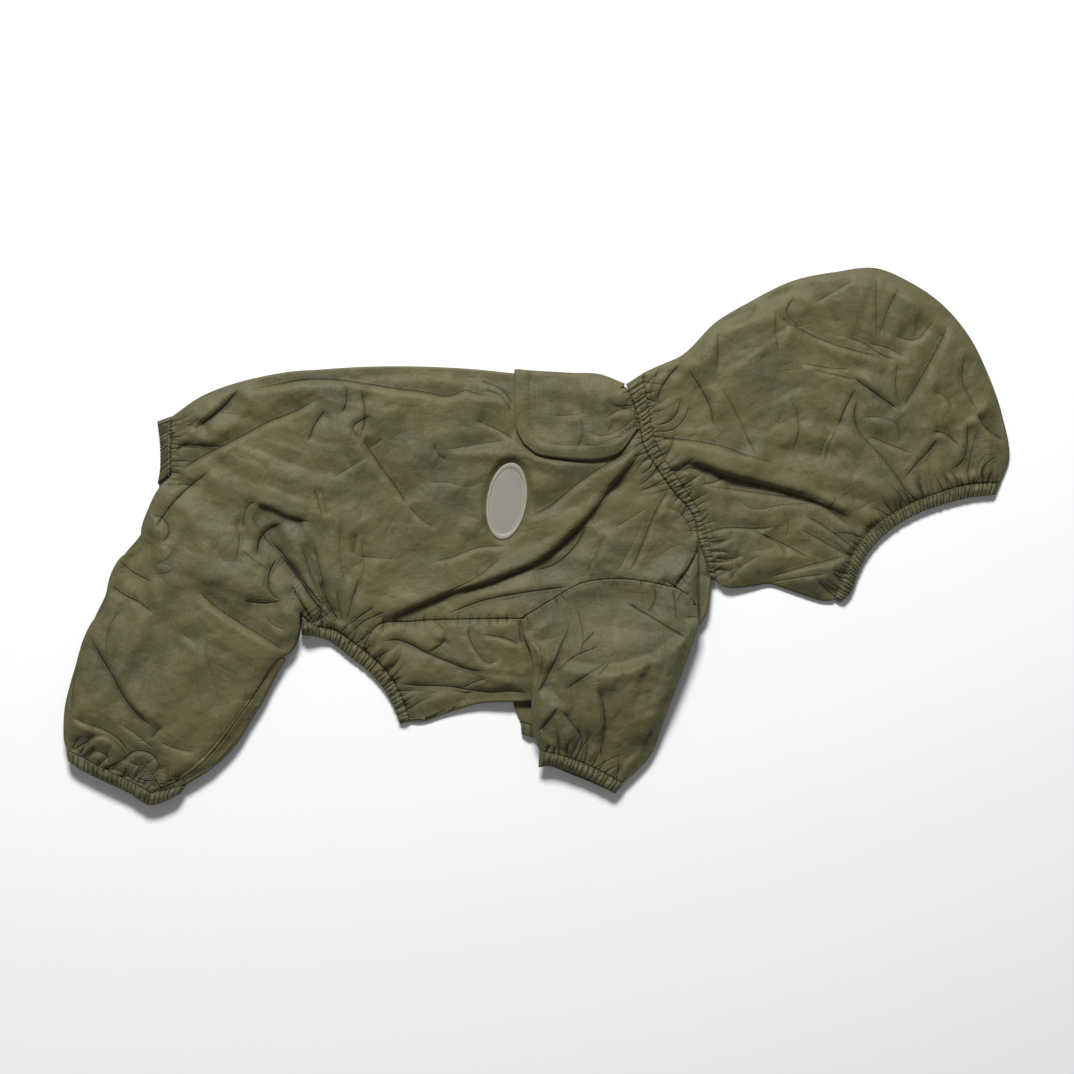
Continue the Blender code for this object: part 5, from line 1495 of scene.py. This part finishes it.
def taffeta(name, warm, cool, shade, crinkle, roughness, gathered=False):
    """Thin, crisp cloth: two colours of thread, slubs, fine crinkles, a dull sheen and painted
    shade in its creases.
    """
    made = Finish(name, roughness, Sheen_Weight=0.03, Sheen_Roughness=0.5,
                  Specular_IOR_Level=0.3, IOR=1.48)
    place, cloth = made.place(), made.cloth()
    turn_of_cloth = made.noise(place, 17.0, 3.0)
    patches = made.noise(place, 75.0)
    tone = made.ramp(turn_of_cloth * 0.6 + patches * 0.4, 0.36, 0.66)
    base = made.mix(tone, colour(*warm), colour(*cool))
    # painted shade: where the cloth lies deep in a crease, and along the sharp crease lines, the
    # colour is darkened towards the shade colour
    valley = 1 - made.ramp(made.attribute("depth"), -1.4, 0.1)
    lines = sum(line_of_set(made, k) for k in range(LINE_SETS))
    # painted shade: on a casing the valleys between the gathers are darkened too
    if gathered:
        lines = lines + 0.9 * made.ramp(made.attribute("valley"), 0.3, 1.0)
    base = made.mix(valley * 0.75 + lines * LINE_PAINTED_SHADE, base, colour(*shade))
    warp = made.stretched(cloth, 1300.0, 45.0)
    weft = made.stretched(cloth, 40.0, 1200.0)
    slub = made.ramp(warp * 0.5 + weft * 0.5, 0.38, 0.62)
    made.between(slub * 0.36, base, colour(*(1.45 * part for part in warm)))
    made.join(roughness - 0.08 + 0.16 * made.noise(place, 140.0), made.shader["Roughness"])
    turns = made.node("ShaderNodeSeparateXYZ", None, {"Vector": cloth}) * (math.tau / THREAD_PITCH)
    ribs = turns.maths("SINE", turns)
    fine = made.noise(place, 420.0, 3.0)
    folds = abs(made.noise(place, 95.0, 3.0, Distortion=0.6) - 0.5)
    threads = ribs * 0.004 + (warp + weft) * 0.012
    wobble = made.node("ShaderNodeTexNoise", None, {"Vector": place, "Scale": 24.0}, output=1)
    bent = made.node("ShaderNodeVectorMath", {"operation": "MULTIPLY_ADD"},
                     {0: wobble, 1: (0.022, 0.022, 0.022), 2: place})
    facets = sum(made.cells(bent, scale) * (made.noise(place, 30.0 + scale) - 0.25) * high
                 for scale, high in ((26.0, 14.0), (64.0, 5.0)))
    made.relief(crinkle * (folds + facets) + 0.3 * crinkle * fine + threads - LINE_DEPTH * lines)
    return made.material


# painted shade: the third colour is the dark colour that creases, crease lines and the gathers'
# valleys are painted towards
body_finish = taffeta("olive_taffeta", (0.092, 0.081, 0.032), (0.063, 0.064, 0.033),
                      (0.022, 0.022, 0.013), 0.6, 0.62)
band_finish = taffeta("band_taffeta", (0.084, 0.075, 0.032), (0.062, 0.061, 0.031),
                      (0.018, 0.018, 0.011), 0.3, 0.62, gathered=True)


# %% Patch cloth
def patch_cloth():
    """Grey reflective cloth with a woven border."""
    made = Finish("grey_reflective_cloth", 0.42, Sheen_Weight=0.1, Specular_IOR_Level=0.5)
    grains = made.noise(made.cloth(), 2600.0, 1.0)
    haze = made.noise(made.place(), 90.0)
    middle = made.mix(haze, colour(0.252, 0.242, 0.2), colour(0.192, 0.186, 0.155))
    middle = made.mix(made.ramp(grains, 0.55, 0.75) * 0.3, middle, colour(0.38, 0.38, 0.35))
    rim = made.ramp(made.attribute("share"), 0.875, 0.895)
    made.between(rim, middle, colour(0.262, 0.248, 0.19))
    made.join(0.36 + 0.2 * haze + 0.2 * rim, made.shader["Roughness"])
    made.relief(0.05 * grains + 0.08 * haze)
    return made.material


badge_finish = patch_cloth()
print("finishes:", ", ".join(material.name for material in
                            (body_finish, band_finish, badge_finish)))

# %% [markdown]
# ## Elastic bands
# Every opening is drawn in by elastic in a sewn casing: neck, face, tail, belly, sleeves
# and legs.  The gathers of a casing are many and follow one rule, which makes them a job
# for Geometry Nodes.  The mesh of a casing knows for each point which gather it is in,
# and the tree raises the points between two gathers, unevenly.
# The tree also stores the valleys between the gathers, which the band's finish darkens as painted
# shade.

# %% The tree that gathers a casing
class Tree(Graph):
    """A Geometry Nodes tree with named inputs."""

    def __init__(self, name, inputs):
        self.tree = bpy.data.node_groups.new(name, "GeometryNodeTree")
        self.ids = {}
        face = self.tree.interface
        face.new_socket("Geometry", in_out="INPUT", socket_type="NodeSocketGeometry")
        for label, kind, value in inputs:
            socket = face.new_socket(label, in_out="INPUT", socket_type=kind)
            if value is not None:
                socket.default_value = value
            self.ids[label] = socket.identifier
        face.new_socket("Geometry", in_out="OUTPUT", socket_type="NodeSocketGeometry")
        self.entry = self.tree.nodes.new("NodeGroupInput")

    def given(self, label):
        """What an object gives for one of the inputs."""
        return Wire(self, self.entry.outputs[label])

    def end(self, geometry):
        """Realize, give the material and hand out the geometry."""
        real = self.node("GeometryNodeRealizeInstances", None, {0: geometry})
        done = self.node("GeometryNodeSetMaterial", None,
                         {0: real, "Material": self.given("Material")})
        self.join(done, self.tree.nodes.new("NodeGroupOutput").inputs[0])


def run_tree(obj, tree, values):
    """Puts a tree on an object, sets its inputs by identifier and keeps the plain result."""
    modifier = obj.modifiers.new(tree.tree.name, "NODES")
    modifier.node_group = tree.tree
    for label, value in values.items():
        modifier[tree.ids[label]] = value
    bpy.context.view_layer.update()
    evaluated = obj.evaluated_get(bpy.context.evaluated_depsgraph_get())
    result = bpy.data.meshes.new_from_object(evaluated)
    obj.modifiers.remove(modifier)
    old = obj.data
    obj.data = result
    bpy.data.meshes.remove(old)
    result.name = obj.name
    result.shade_smooth()
    return obj


def gathering_tree():
    """Raises a casing between its gathers on top, fills them in below, and stores the valleys
    between them for the band's painted shade.
    """
    tree = Tree("gather_casing", [
        ("Height", "NodeSocketFloat", 0.0012), ("Sunk", "NodeSocketFloat", 0.0003),
        ("Waver", "NodeSocketFloat", 0.5), ("Seed", "NodeSocketFloat", 1.0),
        ("Material", "NodeSocketMaterial", None)])
    gather, on_top, outer = (tree.node("GeometryNodeInputNamedAttribute", {"data_type": "FLOAT"},
                                       {"Name": key}) for key in ("gather", "on_top", "outer"))
    noise = tree.node("ShaderNodeTexNoise", {"noise_dimensions": "4D"},
                      {"Vector": tree.node("GeometryNodeInputPosition"), "W": tree.given("Seed"),
                       "Scale": 260.0, "Detail": 1.0})
    phase = (gather + (noise - 0.5) * tree.given("Waver")) * math.pi
    hill = phase.maths("POWER", abs(phase.maths("SINE", phase)), 0.6)
    valley = 1.0 - hill
    uneven = tree.node("ShaderNodeTexNoise", {"noise_dimensions": "1D"},
                       {"W": gather * 0.9, "Scale": 1.0, "Detail": 0.0})
    up = hill * on_top * tree.given("Height")
    sunk = valley * (1.0 - on_top) * tree.given("Sunk")
    push = tree.node("ShaderNodeCombineXYZ", None,
                     {"Z": (up + sunk) * ((uneven + 0.1) * outer)})
    moved = tree.node("GeometryNodeSetPosition", None,
                      {"Geometry": tree.given("Geometry"), "Offset": push})
    # painted shade: the valley share is stored so that the band's finish darkens the gathers'
    # valleys
    marked = tree.node("GeometryNodeStoreNamedAttribute", {"data_type": "FLOAT"},
                       {"Geometry": moved, "Name": "valley", "Value": valley})
    tree.end(marked)
    return tree


gathering = gathering_tree()
print("inputs of the gathering tree:", ", ".join(gathering.ids))

# %% [markdown]
# A casing is a flattened ring of doubled cloth.  Its mesh runs along the upper half, round
# the end and back along the lower half.  Gathers are never alike, so their widths are
# drawn at random, with a fixed seed.

# %% Casings
PER_GATHER, ACROSS = 8, 11      # mesh cells to a gather and rows from edge to edge
STATIONS = 240        # points on each edge, before the gathers divide it
CLEAR = 0.05          # gap between a casing and its panels
BAND_DOME = 0.5       # the elastic in it makes its middle this much higher


def places_of_gathers(stations, ribs, seed):
    """Which gather each station of a run is in; the gathers' widths are uneven."""
    widths = np.random.default_rng(seed).uniform(0.6, 1.4, ribs)
    places = np.concatenate([[0], np.cumsum(widths)]) / widths.sum()
    return np.interp(np.linspace(0, 1, stations), places, np.arange(ribs + 1))


def ring_stations(inset, ribs, plain, corner):
    """Shares of the run, sines of the height and outward signs, once round a casing."""
    ahead = np.linspace(inset, 1 - inset, PER_GATHER * ribs + 1)
    back = np.linspace(1 - inset, inset, 3 * plain + 1)
    for shares in (ahead, back) if corner else ():
        shares[np.abs(shares - corner).argmin()] = corner
    sines = np.array(SINES[1:-1])
    ends = np.ones(len(sines))
    share = np.concatenate([ahead, ends * (1 - inset), back, ends * inset])
    sine = np.concatenate([np.ones(len(ahead)), sines, -np.ones(len(back)), sines[::-1]])
    sign = np.concatenate([0 * ahead, ends, 0 * back, -ends])
    return share, sine, sign, len(ahead), len(back)


def casing_grid(near_edge, far_edge, share, sine, sign, top, under, rim):
    """Middle points of a casing: rows run from the panel's edge to the opening.

    A rim draws the upper half back, so that the inside of the lower half shows.
    """
    even = np.linspace(0, 1, len(near_edge))[:, None]
    inward = unit(near_edge - far_edge)
    rows = []
    for w in np.linspace(0, 1, ACROSS):
        line = near_edge * (1 - w) + far_edge * w
        planes = []
        for one in (line, line + inward * rim * w**2 * np.sin(np.pi * even)):
            reach = reach_along(one)
            s = share * reach[-1]
            planes.append([read(one, reach, s + d) for d in (0, 0.5, -0.5)])
        here, after, before = (np.where((sine == 1)[:, None], high, low)
                               for low, high in zip(*planes))
        way = unit(after - before)
        high, low = top(here), under(here)
        out = np.sqrt(np.maximum(0, 1 - sine**2)) * sign
        spine = here + way * ((FOLD - CASING / 2) * out)[:, None]
        dome = BAND_DOME * math.sin(math.pi * w) * (sine == 1)
        rows.append(lift(spine, (high + low) / 2 + (high - low) / 2 * sine + dome))
    return np.array(rows) + (0, 0, (CASING - CLOTH) / 2)


def casing(name, near_edge, far_edge, ribs, plain, top, under, seed, rim=0.0, corner=None):
    """A gathered elastic casing from the panels' edge to the opening."""
    start = near_edge + square_to(near_edge, spread(far_edge, len(near_edge))) * CLEAR
    near_edge, far_edge = spread(start, STATIONS), spread(far_edge, STATIONS)
    inset = FOLD / length((near_edge + far_edge) / 2)
    share, sine, sign, ahead, back = ring_stations(inset, ribs, plain, corner)
    grid = casing_grid(near_edge, far_edge, share, sine, sign, top, under, rim)
    ends = len(SINES) - 2
    gather = np.concatenate([places_of_gathers(ahead, ribs, seed), np.full(ends, ribs),
                             places_of_gathers(back, plain, seed + 1)[::-1],
                             np.full(ends, ribs)])
    middle = STATIONS // 2
    along = near_edge[middle + 10] - near_edge[middle - 10]
    across = far_edge[middle] - near_edge[middle]
    if along[0] * across[1] < along[1] * across[0]:
        grid = grid[::-1]
    even = np.ones(grid.shape[:2])
    made = cloth_piece(name, grid, closed=True, thick=CASING,
                       extra={"gather": even * gather, "on_top": even * (sine + 1) / 2})
    return run_tree(made, gathering, {"Seed": float(seed), "Material": band_finish})


belly_run = np.concatenate([[BELLY_START], BELLY_RUN[4:]])
neck_run = np.concatenate([[NECK_START], chain(seam(NECK_SEAM, 4), seam(NECK_FRONT, 4))[4:]])
tail_run = spread(np.array(TAIL_START), 40)
rear, joint, front = leg_points(0)[-1], leg_points(2)[-1], leg_points(4)[-1]
leg_run = np.concatenate([spread(np.array([rear, joint]), 40),
                          spread(np.array([joint, front]), 20)[1:]])
turned = {"corner": math.dist(rear, joint) / (math.dist(rear, joint) + math.dist(joint, front))}

CASINGS = (   # node, panels' edge, opening, gathers above and below, the two sides, seed, more
    ("neck_band", neck_run, NECK_EDGE, 46, 20, coat_top, coat_under, 21, {}),
    ("face_band", seam(FACE_SEAM, 4), FACE_EDGE, 58, 20, coat_top, coat_under, 23, {}),
    ("tail_band", tail_run, TAIL_EDGE, 22, 8, coat_top, coat_under, 25, {}),
    ("belly_band", belly_run, BELLY_EDGE, 31, 14, coat_top, coat_under, 27, {}),
    ("sleeve_cuff_right", seam(SLEEVE_END, 4), SLEEVE_HEM, 19, 10, sleeve_top, sleeve_under, 29,
     {"rim": 1.8}),
    ("sleeve_cuff_left", seam(LEFT_SLEEVE_END, 4), LEFT_SLEEVE_HEM, 13, 10, left_leg_side,
     table_side, 31, {}),
    ("leg_cuff_right", leg_run, LEG_HEM, 24, 12, coat_top, right_leg_side, 33, turned),
    ("leg_cuff_left", leg_run, LEG_HEM, 13, 12, left_leg_side, table_side, 35, turned))
bands = [casing(node + "_cloth", run, edge(opening), ribs, plain, top, under, seed, **more)
         for node, run, opening, ribs, plain, top, under, seed, more in CASINGS]
print(len(bands), "elastic casings")

# %% [markdown]
# The patch on the shoulder is grey reflective cloth with a raised woven border.  Its mesh
# is made of ovals, one inside the next.

# %% Patch
# Columns: share of the oval's size, height above the patch's upper side.
BADGE_RINGS = ((0.0, 0.0), (0.2, 0.06), (0.4, 0.02), (0.6, 0.05), (0.8, 0.0), (0.84, -0.05),
               (0.87, 0.1), (0.9, 0.34), (0.935, 0.42), (0.965, 0.36), (0.99, 0.12), (1.0, -0.3))
BADGE_THICK = 0.5
BADGE_SIDES = 96


def patch_oval():
    """The patch as rings, closed underneath by the same rings."""
    shares = np.array([share for share, _ in BADGE_RINGS])
    rise = np.array([rise for _, rise in BADGE_RINGS])
    plans = [oval(max(share, 0.002), BADGE_SIDES) for share in shares]
    bases = [coat_top(plan) + CLOTH / 2 + 0.1 for plan in plans]
    upper_rings = [lift(plan, base + BADGE_THICK + step)
                   for plan, base, step in zip(plans, bases, rise)]
    lower_rings = [lift(plan, base) for plan, base in zip(plans, bases)]
    rings = np.array(upper_rings + lower_rings[::-1])
    count, sides = rings.shape[:2]
    a = np.arange(sides)
    b = (a + 1) % sides
    faces = [np.stack([k * sides + a, (k + 1) * sides + a, (k + 1) * sides + b, k * sides + b],
                      axis=1) for k in range(count - 1)]
    caps = [list(range(sides)), [(count - 1) * sides + k for k in range(sides)][::-1]]
    faces = np.concatenate(faces).tolist() + caps
    points = rings.reshape(-1, 3)
    flat = (points[:, :2] - (BADGE_X, BADGE_Y)) * MM
    share = np.concatenate([np.repeat(shares, sides), np.repeat(shares[::-1], sides)])
    return piece("badge_cloth", points, faces, {"share": share}, flat)


badge = patch_oval()

# %% [markdown]
# ## Stitches
# The coat is sewn with a thread hardly lighter than the cloth.  It shows where a casing is
# closed, along the flap's doubled hem and round the patch.  A row is a line laid on the
# cloth, and a tree cuts it into stitches.  Each is a slim capsule of a few faces.

# %% The tree that sews a row
def sewing_tree():
    """Puts a stitch at every pitch of a line, turned along it."""
    tree = Tree("sew_row", [
        ("Pitch", "NodeSocketFloat", 0.0027), ("Half stitch", "NodeSocketFloat", 0.00105),
        ("Thread radius", "NodeSocketFloat", 0.0002), ("Material", "NodeSocketMaterial", None)])
    line = tree.node("GeometryNodeMeshToCurve", None, {0: tree.given("Geometry")})
    cut = tree.node("GeometryNodeResampleCurve", {"mode": "LENGTH"},
                    {"Curve": line, "Length": tree.given("Pitch")})
    thin = tree.given("Thread radius")
    size = tree.node("ShaderNodeCombineXYZ", None,
                     {"X": thin, "Y": thin, "Z": tree.given("Half stitch")})
    ball = tree.node("GeometryNodeMeshUVSphere", None, {"Segments": 6, "Rings": 5, "Radius": 1.0})
    stitch = tree.node("GeometryNodeTransform", None, {"Geometry": ball, "Scale": size})
    turned = tree.node("FunctionNodeAlignRotationToVector", {"axis": "Z"},
                       {"Vector": tree.node("GeometryNodeInputTangent")})
    sewn = tree.node("GeometryNodeInstanceOnPoints", None,
                     {"Points": cut, "Instance": stitch, "Rotation": turned})
    tree.end(sewn)
    return tree


sewing = sewing_tree()
print("inputs of the sewing tree:", ", ".join(sewing.ids))


# %% Thread
def thread(name, dark, light):
    """Matt polyester thread with two plies."""
    made = Finish(name, 0.6, Specular_IOR_Level=0.3)
    plies = made.noise(made.place(), 2400.0, 1.0)
    made.between(plies, colour(*dark), colour(*light))
    made.relief(0.03 * plies)
    return made.material


olive_thread = thread("olive_thread", (0.15, 0.138, 0.072), (0.205, 0.19, 0.105))
grey_thread = thread("grey_thread", (0.4, 0.39, 0.34), (0.5, 0.49, 0.44))
print("threads:", olive_thread.name, "and, for the patch,", grey_thread.name)

# %% Rows of stitches
SEWN_IN = 1.5         # from the edge of a casing to its row of stitches, mm
STEP = 0.9            # between two places where a row is laid on the cloth, mm
ABOVE = 0.1           # metres over the table, from where each place is dropped on the cloth
STANDS = 0.00006      # metres from the cloth up to the middle of the thread


def sewn_row(name, line, piece_below, material, half=1.05, pitch=2.7, closed=False):
    """A row of stitches on the upper side of a piece; half a stitch and pitch in mm."""
    line = spread(np.asarray(line, float), int(length(line) / STEP) + 2)
    bpy.context.view_layer.update()
    points = []
    for x, y in line * MM:
        hit, where = piece_below.ray_cast((x, y, ABOVE), (0.0, 0.0, -1.0))[:2]
        if hit:
            points.append((x, y, where.z + STANDS))
    count = len(points)
    edges = [(k, k + 1) for k in range(count - 1)] + ([(count - 1, 0)] if closed else [])
    mesh = bpy.data.meshes.new(name)
    mesh.from_pydata(points, edges, [])
    made = bpy.data.objects.new(name, mesh)
    bpy.context.collection.objects.link(made)
    return run_tree(made, sewing, {"Pitch": pitch * MM, "Half stitch": half * MM,
                                   "Material": material})


def along_casing(near_edge, far_edge):
    """A line just inside the edge where a casing meets its panels."""
    near_edge, far_edge = spread(near_edge, 200), spread(far_edge, 200)
    return (near_edge + unit(far_edge - near_edge) * SEWN_IN)[5:-5]


SHOWING = ("neck", "face", "tail", "belly", "sleeve_right")     # casings whose rows show
stitches = {}
for where, band, (_, run, opening, *_) in zip(SHOWING, bands, CASINGS):
    stitches[band.name] = sewn_row(f"{where}_stitches", along_casing(run, edge(opening)), band,
                                   olive_thread)
hem_line = edge(np.reshape(TOPSTITCH, (-1, 2)), 80)[4:-2]
stitches[leash_flap.name] = sewn_row("flap_stitches", hem_line, leash_flap, olive_thread)
stitches[badge.name] = sewn_row("badge_stitches", oval(0.8, BADGE_SIDES), badge, grey_thread,
                                half=0.55, pitch=1.7, closed=True)
print("rows of stitches:", ", ".join(item.name for item in stitches.values()))

# %% [markdown]
# ## Handing the pieces over
# Every piece rides the one body and takes its solid's place.  The casings
# have their finish from the tree already.

# %% Pieces
panels = [back_panel, chest_panel, leg_right, leg_left, hood_right, hood_left, sleeve_right,
          sleeve_left, leash_flap]
for pieces, slot, finish in ((panels, "shell_taffeta", body_finish), (bands, "band_taffeta", None),
                             ([badge], "badge_fabric", badge_finish)):
    for made in pieces:
        if finish:
            made.data.materials.append(finish)
        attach(made, "root")
        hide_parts(made.name.replace("_cloth", ""))
for made in stitches.values():
    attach(made, "root")
print(len(panels + bands) + 1, "pieces of cloth and", len(stitches), "rows of stitches")

# %% [markdown]
# ## What was cut
# The table lists each piece with the size it was cut to, in metres, and how it is held.  The
# cut is the piece laid out flat, and its area counts one layer of cloth.  A casing's strip
# is a quarter longer than the ring it is gathered into.

# %% Sheets
SHEETS = (   # node, width, length, area, how it is held, what it lies on
    ("back_panel", 0.48, 0.37, 0.0975, "folded", ("table", "leash_flap")),
    ("chest_panel", 0.20, 0.14, 0.0128, "folded", ("sleeve_left",)),
    ("hind_leg_inner_right", 0.14, 0.17, 0.0139, "laid", ("hind_leg_inner_left",)),
    ("hind_leg_inner_left", 0.14, 0.17, 0.0139, "laid", ("back_panel",)),
    ("hood_right", 0.21, 0.19, 0.0262, "laid", ("hood_left",)),
    ("hood_left", 0.21, 0.19, 0.0252, "laid", ("table",)),
    ("sleeve_right", 0.19, 0.11, 0.0135, "folded", ("chest_panel",)),
    ("sleeve_left", 0.17, 0.11, 0.0108, "folded", ("table",)),
    ("leash_flap", 0.10, 0.07, 0.0063, "folded", ("back_panel",)),
    ("neck_band", 0.01, 0.31, 0.00233, "gathered", ("table",)),
    ("face_band", 0.01, 0.30, 0.00250, "gathered", ("table",)),
    ("tail_band", 0.01, 0.095, 0.00074, "gathered", ("table",)),
    ("belly_band", 0.01, 0.22, 0.00187, "gathered", ("table",)),
    ("sleeve_cuff_right", 0.01, 0.13, 0.00115, "gathered", ("chest_panel",)),
    ("sleeve_cuff_left", 0.01, 0.125, 0.00100, "gathered", ("table",)),
    ("leg_cuff_right", 0.01, 0.165, 0.00135, "gathered", ("leg_cuff_left",)),
    ("leg_cuff_left", 0.01, 0.165, 0.00130, "gathered", ("table",)),
    ("badge", 0.0224, 0.0436, 0.000767, "laid", ("back_panel",)))
dressed = {made.name: made for made in panels + bands + [badge]}
for node, width, length_, area, held, below in SHEETS:
    made = dressed[node + "_cloth"]
    below = [one if one == "table" else one + "_cloth" for one in below]
print(len(SHEETS), "sheets,", round(sum(row[3] for row in SHEETS), 3), "square metres of cloth")

# %% [markdown]
# ## Table, light and camera
# The photo is taken from straight above a white table.  Its light comes from the top of
# the picture: folds are bright on that side and dark on the other.

# %% Table and light
TABLE_HALF = 4.0          # metres
TABLE_LOW = 0.0003        # metres from the lowest cloth down to the table
TABLE_WHITE = 0.86


def table_finish():
    """White and matt, with hardly any speckle."""
    made = Finish("white_table", 0.9)
    made.between(made.noise(made.place(), 40.0), colour(*[TABLE_WHITE] * 3),
                 colour(*[TABLE_WHITE * 0.99] * 3))
    return made.material


corners = [(x * TABLE_HALF, y * TABLE_HALF, -TABLE_LOW)
           for x, y in ((-1, -1), (1, -1), (1, 1), (-1, 1))]
mesh = bpy.data.meshes.new("table")
mesh.from_pydata(corners, [], [(0, 1, 2, 3)])
mesh.materials.append(table_finish())
table = bpy.data.objects.new("table", mesh)
bpy.context.collection.objects.link(table)


def soft_light(name, place, size, power, tilt):
    """A flat lamp; place and size in metres, power in watts, tilt in degrees about x and y."""
    light = bpy.data.lights.new(name, "AREA")
    light.shape = "RECTANGLE"
    light.size, light.size_y = size
    light.energy = power
    made = bpy.data.objects.new(name, light)
    made.location = place
    made.rotation_euler = (math.radians(tilt[0]), math.radians(tilt[1]), 0)
    bpy.context.collection.objects.link(made)


soft_light("window_light", (-0.2, 1.35, 1.3), (0.6, 0.4), 53.0, (-46, 0))
soft_light("fill_light", (-0.5, -0.8, 1.8), (1.6, 1.6), 2.0, (24, -14))
world = bpy.data.worlds.new("studio")
world.use_nodes = True
sky = world.node_tree.nodes["Background"].inputs
sky["Color"].default_value = colour(1.0, 1.0, 1.0)
sky["Strength"].default_value = 0.18
bpy.context.scene.world = world
bpy.context.scene.view_settings.view_transform = "Standard"
print("a white table, a window, a fill light and an even sky")

# %% Camera
CAMERA_PLACE = (0.00015, -0.00035, 1.674)     # metres; over the middle of the photo
lens = bpy.data.cameras.new("camera")
lens.lens = 100.0
lens.sensor_width = 36.0
camera = bpy.data.objects.new("camera", lens)
camera.location = CAMERA_PLACE
bpy.context.collection.objects.link(camera)
bpy.context.scene.camera = camera
print("camera", CAMERA_PLACE[2], "m over the table, lens of", lens.lens, "mm")
